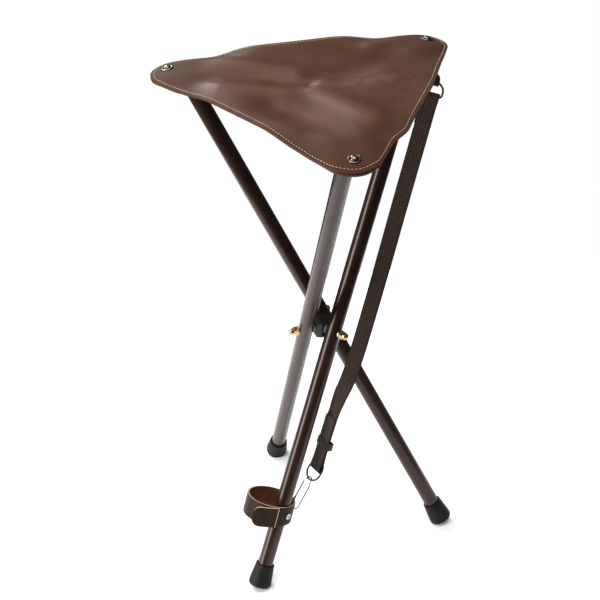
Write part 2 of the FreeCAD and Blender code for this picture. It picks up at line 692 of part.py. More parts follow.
def leather_layer(top_below, thickness):
    """Round sheet that follows the seat's sag and droop at a depth below its top."""
    furthest = mm("panel_tip") + LAYER_OVERHANG
    reaches = [furthest * step / LAYER_STEPS for step in range(LAYER_STEPS + 1)]
    upper = [FreeCAD.Vector(reach, 0, panel_height(reach) - top_below) for reach in reaches]
    lower = [point - UP * thickness for point in upper]
    top_curve = Part.BSplineCurve()
    top_curve.interpolate(upper)
    bottom_curve = Part.BSplineCurve()
    bottom_curve.interpolate(lower)
    edges = [
        top_curve.toShape(),
        Part.makeLine(upper[-1], lower[-1]),
        bottom_curve.toShape(),
        Part.makeLine(lower[0], upper[0]),
    ]
    face = Part.Face(Part.Wire(Part.__sortEdges__(edges)))
    return face.revolve(FreeCAD.Vector(0, 0, 0), UP, 360)


def seat_prism(inset):
    """Upright prism of the seat's outline: a triangle with round corners."""
    edge = mm("panel_edge") - inset
    radius = mm("panel_corner_round") - inset
    centre_reach = 2 * (edge - radius)
    edges = []
    for index in range(3):
        corner = math.radians(FRONT_CORNER + 120 * index)
        following = corner + math.radians(120)
        centre = FreeCAD.Vector(math.cos(corner), math.sin(corner), 0) * centre_reach
        next_centre = FreeCAD.Vector(math.cos(following), math.sin(following), 0) * centre_reach

        def on_arc(angle):
            return centre + FreeCAD.Vector(math.cos(angle), math.sin(angle), 0) * radius

        before, after = corner - math.radians(60), corner + math.radians(60)
        edges.append(Part.Arc(on_arc(before), on_arc(corner), on_arc(after)).toShape())
        side = FreeCAD.Vector(math.cos(after), math.sin(after), 0) * radius
        edges.append(Part.makeLine(centre + side, next_centre + side))
    outline = Part.Face(Part.Wire(Part.__sortEdges__(edges)))
    return outline.extrude(UP * (2 * mm("panel_edge_height")))


def rivet_frame(index):
    """Frame on the leather at a corner rivet, square to the drooping corner."""
    reach = mm("rivet_reach")
    spot = FreeCAD.Vector(reach, 0, panel_height(reach))
    tip = FreeCAD.Rotation(NORTH, panel_slope(reach))
    corner = floor_frame(FRONT_CORNER + 120 * index)
    return corner * FreeCAD.Placement(spot, tip)


def rivet_hole(name, index):
    radius = "sizes.rivet_shank_diameter / 2 + sizes.leather_gap"
    depth = "4 * sizes.rivet_head_diameter"
    place = rivet_frame(index) * shifted(0, 0, -2 * mm("rivet_head_diameter"))
    seam_turn = FreeCAD.Placement(FreeCAD.Vector(), FreeCAD.Rotation(UP, HOLE_SEAM_ANGLE))
    return cylinder(name, radius, depth, place * seam_turn)


def seat_panel():
    """One leather panel with its folds, sagging a little and bent down over the leg ends."""
    layer = shape_item("seat_layer", folded_layer(mm("panel_thickness")), floor_frame(0))
    prism = shape_item("seat_outline", seat_prism(0), floor_frame(0))
    panel = common("seat_blank", layer, prism)
    holes = [rivet_hole(f"seat_rivet_hole_{leg}", index) for index, leg in enumerate(LEGS)]
    return finish(cut("seat", panel, fuse("seat_rivet_holes", holes)), "seat_panel")


def corner_pocket(index, leg):
    """Leather pocket sewn under a seat corner, with a sleeve for the tube end."""
    depth = mm("panel_thickness") + mm("leather_gap")
    flange_layer = leather_layer(depth, mm("pocket_thickness"))
    flange = shape_item(f"pocket_flange_{leg}", flange_layer, floor_frame(0))
    outline = shape_item(f"pocket_outline_{leg}", seat_prism(mm("pocket_inset")), floor_frame(0))
    flange = common(f"pocket_blank_{leg}", flange, outline)
    corner = doc.addObject("Part::Box", f"pocket_corner_{leg}")
    bind(corner, Length="2 * sizes.panel_edge", Width="4 * sizes.panel_edge")
    bind(corner, Height="2 * sizes.panel_edge_height")
    corner_turn = floor_frame(FRONT_CORNER + 120 * index)
    pocket_start = mm("leg_top_reach") - mm("pocket_back")
    corner.Placement = corner_turn * shifted(pocket_start, -2 * mm("panel_edge"), 0)
    flange = common(f"pocket_flap_{leg}", flange, corner)
    flange = cut(f"pocket_drilled_{leg}", flange, rivet_hole(f"pocket_rivet_hole_{leg}", index))
    frame = leg_frame(index)
    sleeve_place = frame * shifted(0, 0, mm("upper_run") - mm("pocket_sleeve"))
    clear = "sizes.tube_diameter / 2 + sizes.leather_gap"
    sleeve = cylinder(
        f"pocket_sleeve_{leg}", f"{clear} + sizes.pocket_thickness", "2 * sizes.pocket_sleeve", sleeve_place)
    room = shape_item(f"pocket_room_{leg}", leather_layer(depth, mm("panel_edge")), floor_frame(0))
    sleeve = common(f"pocket_sleeve_cut_{leg}", sleeve, room)
    whole = fuse(f"pocket_whole_{leg}", [flange, sleeve])
    tube_place = frame * shifted(0, 0, mm("upper_run") - 2 * mm("pocket_sleeve"))
    tube_room = cylinder(f"pocket_tube_room_{leg}", clear, "4 * sizes.pocket_sleeve", tube_place)
    opened = cut(f"pocket_opened_{leg}", whole, tube_room)
    return finish(opened, f"corner_pocket_{leg}")


def corner_rivet(index, leg):
    """Domed rivet through both leathers."""
    place = rivet_frame(index)
    head_radius = mm("rivet_head_diameter") / 2
    height = mm("rivet_head_height")
    dome_radius = (head_radius ** 2 + height ** 2) / (2 * height)
    sphere = doc.addObject("Part::Sphere", f"rivet_sphere_{leg}")
    rule = "((sizes.rivet_head_diameter / 2) ^ 2 + sizes.rivet_head_height ^ 2)"
    bind(sphere, Radius=f"{rule} / (2 * sizes.rivet_head_height)")
    sphere.Placement = place * shifted(0, 0, mm("leather_gap") + height - dome_radius)
    head_room = cylinder(
        f"rivet_head_room_{leg}", "sizes.rivet_head_diameter", "sizes.rivet_head_diameter",
        place * shifted(0, 0, mm("leather_gap")))
    dome = common(f"rivet_dome_{leg}", sphere, head_room)
    layers = "sizes.panel_thickness + sizes.pocket_thickness + sizes.rivet_burr_thickness"
    shank_length = f"{layers} + 4 * sizes.leather_gap"
    shank_end = mm("leather_gap") - rivet_depth()
    shank = cylinder(
        f"rivet_shank_{leg}", "sizes.rivet_shank_diameter / 2", shank_length,
        place * shifted(0, 0, shank_end))
    return finish(fuse(f"rivet_{leg}", [dome, shank]), f"corner_rivet_{leg}")


def rivet_depth():
    layers = mm("panel_thickness") + mm("pocket_thickness") + mm("rivet_burr_thickness")
    return layers + 4 * mm("leather_gap")


def rivet_burr(index, leg):
    """Washer that the rivet is closed on, under the pocket."""
    below = mm("panel_thickness") + mm("pocket_thickness") + 2 * mm("leather_gap")
    place = rivet_frame(index) * shifted(0, 0, -below - mm("rivet_burr_thickness"))
    burr = ring_disc(
        f"burr_{leg}", "sizes.rivet_burr_diameter / 2",
        "sizes.rivet_shank_diameter / 2 + sizes.slip_fit", "sizes.rivet_burr_thickness", place)
    return finish(burr, f"rivet_burr_{leg}")


# Bent wire


def straight(first, last):
    return Part.LineSegment(first, last).toShape()


def bend(first, middle, last):
    return Part.Arc(first, middle, last).toShape()


def bent_wire(edges, diameter):
    """Round wire swept along a path of straight runs and bends."""
    path = Part.Wire(edges)
    start = edges[0].valueAt(edges[0].FirstParameter)
    heading = edges[0].tangentAt(edges[0].FirstParameter)
    section = Part.Wire(Part.Circle(start, heading, diameter / 2).toShape())
    return path.makePipeShell([section], True, True)


def ring_shape():
    """D ring: the bar lies on X at the origin, the bow points along +Z."""
    half = (mm("ring_inside") + mm("ring_wire")) / 2
    corner = mm("ring_corner")
    side = mm("ring_depth") - half
    lean_in = corner * (1 - math.sqrt(0.5))

    def at(x, z):
        return FreeCAD.Vector(x, 0, z)

    edges = [
        straight(at(0, 0), at(half - corner, 0)),
        bend(at(half - corner, 0), at(half - lean_in, lean_in), at(half, corner)),
        straight(at(half, corner), at(half, side)),
        bend(at(half, side), at(0, side + half), at(-half, side)),
        straight(at(-half, side), at(-half, corner)),
        bend(at(-half, corner), at(-half + lean_in, lean_in), at(-half + corner, 0)),
        straight(at(-half + corner, 0), at(0, 0)),
    ]
    return bent_wire(edges, mm("ring_wire"))


# Strap, rings and tab


def seat_edge_point():
    """Seat edge above the strap's tab, on the edge between front and right corners."""
    facing = math.radians(FRONT_CORNER + 60)
    out = FreeCAD.Vector(math.cos(facing), math.sin(facing), 0)
    along = FreeCAD.Vector(-math.sin(facing), math.cos(facing), 0)
    middle = FreeCAD.Vector(0, mm("axis_back"), 0)
    flat = out * mm("panel_edge") + along * mm("tab_along")
    return middle + flat + UP * panel_height(flat.Length), out, along


StrapEnds = collections.namedtuple(
    "StrapEnds", "low_bar high_bar upward length face width low_face low_width high_up low_down")


def strap_ends():
    """Bar centres of the strap's two rings and the directions at both ends."""
    edge, out, along = seat_edge_point()
    bow = edge + out * mm("tab_out") - UP * mm("tab_drop")
    low_bar = leg_frame(LEGS.index("right")).multVec(
        FreeCAD.Vector(mm("clip_out"), mm("clip_side"), mm("clip_rise") - mm("belt_drop")))
    facing = math.radians(mm("strap_facing"))
    face = FreeCAD.Vector(math.cos(facing), math.sin(facing), 0)
    rough = (bow - low_bar).normalize()
    face = (face - rough * face.dot(rough)).normalize()
    width = rough.cross(face)
    lean_back = FreeCAD.Rotation(width, mm("upper_tip"))
    high_bar = bow - lean_back.multVec(rough) * mm("ring_depth")
    upward = high_bar - low_bar
    length = upward.Length
    upward.normalize()
    face = (face - upward * face.dot(upward)).normalize()
    width = upward.cross(face)
    low_face, low_width = twisted(face, width, mm("strap_twist"))
    high_up = FreeCAD.Rotation(width, mm("upper_tip")).multVec(upward)
    low_down = FreeCAD.Rotation(low_width, -mm("lower_tip")).multVec(upward * -1)
    return StrapEnds(
        low_bar, high_bar, upward, length, face, width, low_face, low_width, high_up, low_down)


def strap_centre(ends, run):
    """Middle of the bowed webbing at a distance from the lower bar."""
    share = run / ends.length
    side = 4 * mm("strap_bow") * share * (1 - share)
    return ends.low_bar + ends.upward * run + ends.width * side


def twisted(face, width, turn):
    """Face and width directions after a twist about the strap's length."""
    angle = math.radians(turn)
    new_width = width * math.cos(angle) + face * math.sin(angle)
    new_face = face * math.cos(angle) - width * math.sin(angle)
    return new_face, new_width


def strap_turn(run):
    return mm("strap_twist") * (1 - eased(run, mm("twist_start"), mm("twist_end")))


def four_corners(centre, half_width, half_depth):
    """Closed rectangle round a centre, for a loft."""
    corners = [
        centre + half_width + half_depth,
        centre - half_width + half_depth,
        centre - half_width - half_depth,
        centre + half_width - half_depth,
    ]
    return Part.makePolygon(corners + corners[:1])


def strap_section(centre, face, width):
    return four_corners(centre, width * (mm("strap_width") / 2), face * (mm("strap_thickness") / 2))


def centred_cylinder(radius, length, centre, axis):
    return Part.makeCylinder(radius, length, centre - axis * (length / 2), axis)


def rolled_loop(centre, axis, width, thickness, play):
    """Roll of a strap round ring wire, and the wider-reaching bore for the wire."""
    inside = mm("ring_wire") / 2 + play
    roll = centred_cylinder(inside + thickness, width, centre, axis)
    bore = centred_cylinder(inside, width + 2 * BORE_OVERRUN, centre, axis)
    return roll, bore


def webbing_strap():
    """Webbing from ring to ring: bowed, twisted at the foot, turned back at the lower bar."""
    ends = strap_ends()
    thickness = mm("strap_thickness")
    sections = []
    for step in range(STRAP_STEPS + 1):
        run = ends.length * step / STRAP_STEPS
        face, width = twisted(ends.face, ends.width, strap_turn(run))
        sections.append(strap_section(strap_centre(ends, run), face, width))
    ribbon = Part.makeLoft(sections, True, True)
    play = mm("loop_play")
    low_roll, low_bore = rolled_loop(ends.low_bar, ends.low_width, mm("strap_width"), thickness, play)
    high_roll, high_bore = rolled_loop(ends.high_bar, ends.width, mm("strap_width"), thickness, play)
    behind = ends.low_face * thickness
    return_end = strap_centre(ends, mm("strap_return"))
    turned_back = Part.makeLoft([
        strap_section(ends.low_bar + behind, ends.low_face, ends.low_width),
        strap_section(return_end + behind, ends.low_face, ends.low_width),
    ], True, True)
    whole = ribbon.fuse([low_roll, high_roll, turned_back])
    whole = whole.cut([low_bore, high_bore])
    return finish(shape_item("strap_webbing", whole.removeSplitter()), "webbing_strap")


def d_rings():
    """Upper ring in the seat's tab and lower ring on the snap hook."""
    ends = strap_ends()
    high_place = axes_frame(ends.high_bar, ends.width, ends.high_up.cross(ends.width), ends.high_up)
    finish(shape_item("ring_high", ring_shape(), high_place), "seat_ring")
    low_place = axes_frame(
        ends.low_bar, ends.low_width, ends.low_down.cross(ends.low_width), ends.low_down)
    finish(shape_item("ring_low", ring_shape(), low_place), "clip_ring")


def ring_tab():
    """Leather tab folded round the upper ring's bow and sewn under the seat."""
    ends = strap_ends()
    edge, out, along = seat_edge_point()
    leather = mm("tab_leather")
    half_width = mm("tab_width") / 2
    bow = ends.high_bar + ends.high_up * mm("ring_depth")
    roll, bore = rolled_loop(bow, ends.width, mm("tab_width"), leather, mm("tab_play"))
    root_top = mm("panel_thickness") + mm("leather_gap")
    root_in = mm("ring_wire") / 2 + mm("tab_play") + leather
    root = edge - UP * (root_top + leather) - out * root_in
    hanger = Part.makeLoft([
        four_corners(bow, ends.width * half_width, ends.high_up.cross(ends.width) * leather),
        four_corners(root, along * half_width, out * leather),
    ], True, True)
    flap = tab_flap(root_top, edge, out, along)
    whole = roll.fuse([hanger]).cut(bore).fuse([flap])
    finish(shape_item("tab_leather_loop", whole.removeSplitter()), "ring_tab")


def tab_flap(top_below, edge, out, along):
    """Two leathers sewn flat under the seat, behind its edge."""
    leather = mm("tab_leather")
    layer = leather_layer(top_below, 2 * leather)
    layer.Placement = floor_frame(0)
    corner = edge - along * (mm("tab_width") / 2) - out * mm("tab_root")
    corner = FreeCAD.Vector(corner.x, corner.y, 0)
    block = Part.makeBox(mm("tab_root") - leather, mm("tab_width"), 2 * mm("panel_edge_height"))
    block.Placement = axes_frame(corner, out, along, UP)
    return layer.common(block)


def strap_slider():
    """Flat loop round both webbing layers."""
    ends = strap_ends()
    thickness = mm("strap_thickness")
    centre = strap_centre(ends, mm("slider_place")) + ends.low_face * (thickness / 2)
    inner_width = mm("strap_width") + 2 * mm("slider_gap") + mm("slider_slack")
    inner_depth = 2 * thickness + 2 * mm("slider_gap")
    wall = mm("slider_wall")
    frame = axes_frame(centre, ends.low_width, ends.upward.cross(ends.low_width), ends.upward)
    outer = centred_box(inner_width + 2 * wall, inner_depth + 2 * wall, mm("slider_height"))
    inner = centred_box(inner_width, inner_depth, 2 * mm("slider_height"))
    loop = outer.makeFillet(mm("slider_round"), outer.Edges).cut(inner)
    finish(shape_item("slider_loop", loop, frame), "strap_slider")


def centred_box(across, deep, tall):
    corner = FreeCAD.Vector(-across / 2, -deep / 2, -tall / 2)
    return Part.makeBox(across, deep, tall, corner)


# Closing belt, its hollow rivet and the snap hook


def belt_frame():
    """Frame of the belt loop: X out through the hollow rivet, Z up the loop's axis."""
    centre_x = mm("tube_diameter") / 2 + mm("leather_gap") - mm("belt_inside")
    lean = FreeCAD.Rotation(EAST, mm("belt_lean"))
    spot = FreeCAD.Vector(centre_x, 0, -mm("belt_drop"))
    return leg_frame(LEGS.index("right")) * FreeCAD.Placement(spot, lean)


def closing_belt():
    """Leather band round the leg with its tongue folded back over the front."""
    low = FreeCAD.Vector(0, 0, -mm("belt_width") / 2)
    inside = mm("belt_inside")
    outside = inside + mm("belt_thickness")
    width = mm("belt_width")
    band = Part.makeCylinder(outside, width, low).cut(Part.makeCylinder(inside, width, low))
    sweep = mm("tongue_to") - mm("tongue_from")
    over = outside + mm("belt_thickness")
    inside_band = (inside + outside) / 2
    tongue = Part.makeCylinder(over, width, low, UP, sweep)
    tongue = tongue.cut(Part.makeCylinder(inside_band, width, low))
    tongue.rotate(FreeCAD.Vector(0, 0, 0), UP, mm("tongue_from"))
    belt = band.fuse([tongue]).removeSplitter()
    turn = math.radians(mm("belt_hole_turn"))
    radial = FreeCAD.Vector(math.cos(turn), math.sin(turn), 0)
    start = radial * (inside - mm("belt_thickness")) + UP * mm("belt_hole_rise")
    hole = Part.makeCylinder(mm("belt_hole_diameter") / 2, 3 * mm("belt_thickness"), start, radial)
    eyelet_radius = mm("eyelet_shank_diameter") / 2 + mm("slip_fit")
    eyelet_start = EAST * (inside - mm("belt_thickness"))
    eyelet_hole = Part.makeCylinder(eyelet_radius, 3 * mm("belt_thickness"), eyelet_start, EAST)
    belt = belt.cut([hole, eyelet_hole])
    finish(shape_item("belt_leather", belt, belt_frame()), "closing_belt")


def belt_eyelet():
    """Hollow rivet that holds the belt on the tube."""
    reach = mm("belt_inside") + mm("belt_thickness") + mm("leather_gap")
    depth = reach - mm("belt_inside") + mm("tube_wall") + 2 * mm("leather_gap")
    frame = belt_frame()
    flange = cylinder(
        "eyelet_plate", "sizes.eyelet_diameter / 2", "sizes.eyelet_flange", frame * along_x(reach))
    shank_length = "sizes.belt_thickness + sizes.tube_wall + 3 * sizes.leather_gap"
    shank = cylinder(
        "eyelet_shank", "sizes.eyelet_shank_diameter / 2", shank_length, frame * along_x(reach - depth))
    bore = cylinder(
        "eyelet_hole", "sizes.eyelet_bore / 2", f"{shank_length} + sizes.eyelet_flange",
        frame * along_x(reach - depth))
    return finish(cut("eyelet", fuse("eyelet_blank", [flange, shank]), bore), "belt_eyelet")


def hook_frame():
    """Snap hook's frame: X across the two wires, Z from the belt hole up to the ring."""
    ends = strap_ends()
    ring_bow = ends.low_bar + ends.low_down * mm("ring_depth")
    turn = math.radians(mm("belt_hole_turn"))
    radial = FreeCAD.Vector(math.cos(turn), math.sin(turn), 0)
    middle = mm("belt_inside") + mm("belt_thickness") / 2
    frame = belt_frame()
    hole = frame.multVec(radial * middle + UP * mm("belt_hole_rise"))
    outward = frame.Rotation.multVec(radial)
    rise = ring_bow - hole
    length = rise.Length
    rise.normalize()
    across = (outward - rise * outward.dot(rise)).normalize()
    return axes_frame(hole, across, rise.cross(across), rise), length


def snap_hook():
    """Bent wire: an eye on the ring, one long side and a hook through the belt."""
    frame, length = hook_frame()
    half = mm("hook_half_width")
    eye = mm("hook_eye")
    nose = half + mm("gate_gap")

    def at(x, z):
        return FreeCAD.Vector(x, 0, z)

    opening = math.radians(mm("eye_opening"))
    eye_foot = length - eye * math.sin(opening)
    eye_end = at(eye * math.cos(opening), eye_foot)
    eye_start = at(-eye * math.cos(opening), eye_foot)
    shoulder = at(half, length - mm("hook_shoulder"))
    edges = [
        bend(eye_start, at(0, length + eye), eye_end),
        straight(eye_end, shoulder),
        straight(shoulder, at(half, half)),
        bend(at(half, half), at(0, 0), at(-half, half)),
        straight(at(-half, half), at(-half, half + nose)),
    ]
    wire = bent_wire(edges, mm("hook_wire_diameter"))
    finish(shape_item("hook", wire, frame), "snap_hook")


def hook_gate():
    """Sprung side of the hook, with a sleeve that meets the hook's nose."""
    frame, length = hook_frame()
    half = mm("hook_half_width")
    eye = mm("hook_eye")
    nose_end = 2 * half + mm("gate_gap")
    low = nose_end + mm("gate_gap")
    high = length - eye - mm("hook_wire_diameter") - mm("gate_gap")
    wire = Part.makeCylinder(
        mm("hook_wire_diameter") / 2, high - low, FreeCAD.Vector(-half, 0, low))
    sleeve = Part.makeCylinder(
        mm("gate_sleeve_diameter") / 2, mm("gate_sleeve_length"), FreeCAD.Vector(-half, 0, low))
    finish(shape_item("gate", wire.fuse(sleeve).removeSplitter(), frame), "hook_gate")


# Assembly

hub_block()
pivot_hardware()
for leg_index, leg_name in enumerate(LEGS):
    leg_tube(leg_index, leg_name)
    pivot_bush(leg_index, leg_name)
    rubber_foot(leg_index, leg_name)
    foot_disc(leg_index, leg_name)
    top_plug(leg_index, leg_name)
    corner_pocket(leg_index, leg_name)
    corner_rivet(leg_index, leg_name)
    rivet_burr(leg_index, leg_name)
seat_panel()
ring_tab()
d_rings()
webbing_strap()
strap_slider()
closing_belt()
belt_eyelet()
snap_hook()
hook_gate()
doc.recompute()

for item in doc.Objects:
    assert not {"Invalid", "Error"} & set(item.State), f"{item.Label} failed"
for item in finished:
    assert not item.Shape.isNull() and item.Shape.isValid(), f"{item.Label} is not a valid solid"
    assert item.Shape.Volume > 0, f"{item.Label} has no volume"

os.makedirs("parts", exist_ok=True)
for item in finished:
    item.Shape.exportStep(f"parts/{item.Label}.step")
    box = item.Shape.BoundBox
    print(f"{item.Label}: {len(item.Shape.Solids)} solids, {item.Shape.Volume:.0f} mm3, "
          f"x {box.XMin:.1f}..{box.XMax:.1f} y {box.YMin:.1f}..{box.YMax:.1f} "
          f"z {box.ZMin:.1f}..{box.ZMax:.1f}")
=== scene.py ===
# %% [markdown]
# # A tripod hunting stool
# Three lacquered tubes cross at a small hub and carry a leather seat on their upper ends. Most of the hard
# pieces come from the CAD frame and only get finishes here. The seat with its corner pockets and rivets,
# the webbing, the ring's tab and the belt are modelled anew, because they have folds, seams, soft edges
# and a weave that a plain solid lacks.

# %% Load the frame
import json
import math

import bmesh
import bpy
from mathutils import Matrix, Vector


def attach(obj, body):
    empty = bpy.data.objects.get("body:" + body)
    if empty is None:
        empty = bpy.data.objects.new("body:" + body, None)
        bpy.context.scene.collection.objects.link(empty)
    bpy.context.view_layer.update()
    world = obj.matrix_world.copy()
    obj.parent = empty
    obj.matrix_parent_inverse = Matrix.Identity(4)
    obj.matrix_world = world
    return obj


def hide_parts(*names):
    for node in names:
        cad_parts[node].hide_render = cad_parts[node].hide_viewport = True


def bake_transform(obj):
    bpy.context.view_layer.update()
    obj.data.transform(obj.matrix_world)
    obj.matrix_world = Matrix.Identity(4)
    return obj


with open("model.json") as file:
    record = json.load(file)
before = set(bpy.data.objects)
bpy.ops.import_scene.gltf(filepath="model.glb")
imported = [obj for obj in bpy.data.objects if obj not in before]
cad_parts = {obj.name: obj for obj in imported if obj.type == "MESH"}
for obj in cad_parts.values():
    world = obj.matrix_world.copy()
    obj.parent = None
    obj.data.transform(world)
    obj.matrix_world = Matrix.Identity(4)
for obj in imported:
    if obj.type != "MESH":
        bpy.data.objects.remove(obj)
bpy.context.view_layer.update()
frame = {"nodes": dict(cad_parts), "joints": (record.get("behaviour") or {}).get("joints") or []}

scene = bpy.context.scene
print("CAD nodes:", len(frame["nodes"]))

# %% [markdown]
# ## Camera
# The photograph looks down on the stool by about 34 degrees. A camera can be aimed by hand, but then its
# picture hardly ever lies on the photograph. This one was fitted to points of the stool. It is placed
# by its position and two of its own axes, right and up. The third axis points back from the picture
# towards the viewer, and it is the cross product of the other two.

# %% Camera
CAMERA_PLACE = Vector((-0.3174, -1.4663, 1.37881))
CAMERA_RIGHT = Vector((0.97748, -0.20932, -0.02664))
CAMERA_UP = Vector((0.13783, 0.53774, 0.83177))
camera_data = bpy.data.cameras.new("camera")
camera_data.lens = 86.57
camera_data.sensor_width = 36
camera = bpy.data.objects.new("camera", camera_data)
scene.collection.objects.link(camera)
scene.camera = camera
camera_turn = Matrix((CAMERA_RIGHT, CAMERA_UP, CAMERA_RIGHT.cross(CAMERA_UP))).transposed()
camera.matrix_world = Matrix.Translation(CAMERA_PLACE) @ camera_turn.to_4x4()
print("Camera height above the floor:", round(CAMERA_PLACE.z, 3))

# %% [markdown]
# ## The webbing's line
# A dark woven band is held taut between two rings, one at the seat's edge and one near the belt. It bows
# a little to one side, and its lower part is twisted, because the lower ring hangs at another angle than
# the upper one. A point of the band is given by how far up it is, how far it stands out from the line and
# how far it bows. The helper smooth, an even rise from 0 to 1, also serves in many cells below.

# %% Strap line
LOW_BAR = Vector((-0.02357, -0.042725, 0.146024))
HIGH_BAR = Vector((0.138361, 0.019326, 0.632463))
STRAP_LENGTH = (HIGH_BAR - LOW_BAR).length
STRAP_UP = (HIGH_BAR - LOW_BAR).normalized()
STRAP_FACE = Vector((-0.248404, -0.94704, 0.203497))
STRAP_ACROSS = STRAP_UP.cross(STRAP_FACE)
STRAP_TWIST = math.radians(52)
TWIST_ENDS = (0.08, 0.15)


def smooth(value, low, high):
    """0 up to low, 1 from high on, and an even rise between them."""
    share = min(max((value - low) / (high - low), 0), 1)
    return share * share * (3 - 2 * share)


def strap_run(place):
    """How far up the webbing a point is."""
    return (place - LOW_BAR).dot(STRAP_UP)


def strap_twist(run):
    """Angle of the webbing about its own line: full at its lower end and gone further up."""
    return STRAP_TWIST * (1 - smooth(run, *TWIST_ENDS))


def strap_across(run):
    """Direction of the webbing's width."""
    twist = strap_twist(run)
    return STRAP_ACROSS * math.cos(twist) + STRAP_FACE * math.sin(twist)


def strap_point(run, out=0, bow=0):
    """A point at run up the webbing, moved out towards its front and sideways by bow."""
    twist = strap_twist(run)
    front = STRAP_FACE * math.cos(twist) - STRAP_ACROSS * math.sin(twist)
    return LOW_BAR + STRAP_UP * run + front * out + STRAP_ACROSS * bow


print("Webbing length in metres:", round(STRAP_LENGTH, 3))

# %% [markdown]
# ## The webbing's routes
# A band could follow straight lines from point to point, but then its bends would have corners. A NURBS
# spline rounds them: it is drawn towards a few chosen points, and the mesh reads its own points from
# it. There are three routes. The long part is one, and each end that is turned round a ring is another.
# The lower end goes with the leg when the stool folds.

# %% Strap routes
STRAP_BOW = 0.0068
STRAP_JOIN = 0.471
LONG_STEPS = 420
TURN_STEPS = 20


def read_route(name, points, steps):
    """Points along the NURBS spline that has these points as its control points."""
    curve = bpy.data.curves.new(name, "CURVE")
    curve.dimensions = "3D"
    curve.resolution_u = steps
    spline = curve.splines.new("NURBS")
    spline.points.add(len(points) - 1)
    for knot, point in zip(spline.points, points):
        knot.co = (*point, 1)
    spline.order_u = 3
    spline.use_endpoint_u = True
    holder = bpy.data.objects.new(name, curve)
    line = bpy.data.meshes.new_from_object(holder)
    places = [vert.co.copy() for vert in line.vertices]
    bpy.data.objects.remove(holder)
    bpy.data.meshes.remove(line)
    return places


strap_route = read_route("strap_route", [
    strap_point(0, -0.0027),
    strap_point(0.005, -0.0026),
    strap_point(0.013),
    strap_point(0.1),
    strap_point(0.14, bow=STRAP_BOW),
    strap_point(0.27, bow=STRAP_BOW * 0.8),
    strap_point(0.4, bow=STRAP_BOW * 0.3),
    strap_point(STRAP_LENGTH),
], LONG_STEPS)
main_places = [place for place in strap_route if strap_run(place) <= STRAP_JOIN]
tail_places = read_route("tail_route", [
    strap_point(0, -0.0027),
    strap_point(-0.0036, -0.003),
    strap_point(-0.0036, 0.003),
    strap_point(0.004, 0.003),
    strap_point(0.012, 0.0018),
    strap_point(0.045, 0.0018),
    strap_point(0.077, 0.0018),
], TURN_STEPS)
top_places = read_route("top_route", [
    main_places[-1],
    strap_point(STRAP_LENGTH - 0.016),
    strap_point(STRAP_LENGTH - 0.004, 0.0028),
    strap_point(STRAP_LENGTH + 0.0036, 0.003),
    strap_point(STRAP_LENGTH + 0.0036, -0.003),
    strap_point(STRAP_LENGTH - 0.004, -0.003),
    strap_point(STRAP_LENGTH - 0.018, -0.0018),
    strap_point(STRAP_LENGTH - 0.036, -0.0018),
], TURN_STEPS)
print("Points along the webbing:", len(main_places), len(tail_places), len(top_places))

# %% [markdown]
# ## Strips
# Webbing, the leather tab of the upper ring and the tongue of the belt are all long flat strips. A curve
# with a flat bevel object could make them, but its twist is hard to steer. So one helper makes them from
# a grid: a row of the grid goes to each point of the route, spread along the width there, and the sheet
# then gets its thickness. The UV map is in metres, so that a weave keeps its scale on any strip.

# %% Strip helper


def add_piece(name, bm, sharp_angle=math.radians(40)):
    """An object from a finished mesh, smooth except at its sharp edges."""
    bmesh.ops.recalc_face_normals(bm, faces=bm.faces[:])
    mesh = bpy.data.meshes.new(name)
    bm.to_mesh(mesh)
    bm.free()
    mesh.shade_smooth()
    mesh.set_sharp_from_angle(angle=sharp_angle)
    piece = bpy.data.objects.new(name, mesh)
    scene.collection.objects.link(piece)
    return piece


def strip_mesh(places, sides, widths, thickness, columns, start=0.0):
    """A strip along places, as wide as widths along sides, with its UV map in metres."""
    bm = bmesh.new()
    rows = len(places) - 1
    # The grid is one unit wide and long, so x and y run from -0.5 to 0.5.
    bmesh.ops.create_grid(bm, x_segments=columns, y_segments=rows, size=0.5)
    lengths = [start]
    for here, ahead in zip(places, places[1:]):
        lengths.append(lengths[-1] + (ahead - here).length)
    strip_map = bm.loops.layers.uv.new("strip")
    for face in bm.faces:
        for loop in face.loops:
            row = round((loop.vert.co.y + 0.5) * rows)
            loop[strip_map].uv = (loop.vert.co.x * widths[row], lengths[row])
    for vert in bm.verts:
        row = round((vert.co.y + 0.5) * rows)
        vert.co = places[row] + sides[row] * (vert.co.x * widths[row])
    bm.normal_update()
    for vert in bm.verts:
        vert.co += vert.normal * thickness / 2
    bmesh.ops.solidify(bm, geom=bm.faces[:], thickness=thickness)
    return bm


# %% [markdown]
# ## Webbing
# Woven webbing has a rib for each weft thread. A bump map alone would leave the outline flat, so the ribs
# are real geometry: each point moves out or in with a wave along the run. When the stool folds, the tail
# goes with the leg.

# %% Webbing pieces
STRAP_WIDTH = 0.02
STRAP_THICKNESS = 0.0016
STRAP_COLUMNS = 6
RIB_PITCH = 0.003
RIB_HEIGHT = 0.0002
LEG_END = 0.075
HUB_END = 0.45
RING_END = 0.505


def webbing(name, places, start=0.0):
    """A ribbed band along places. Its weave is counted from start."""
    sides = [strap_across(strap_run(place)) for place in places]
    widths = [STRAP_WIDTH] * len(places)
    bm = strip_mesh(places, sides, widths, STRAP_THICKNESS, STRAP_COLUMNS, start)
    bm.normal_update()
    for vert in bm.verts:
        rib = math.cos(2 * math.pi * strap_run(vert.co) / RIB_PITCH)
        vert.co += vert.normal * rib * RIB_HEIGHT
    return add_piece(name, bm, sharp_angle=math.radians(60))


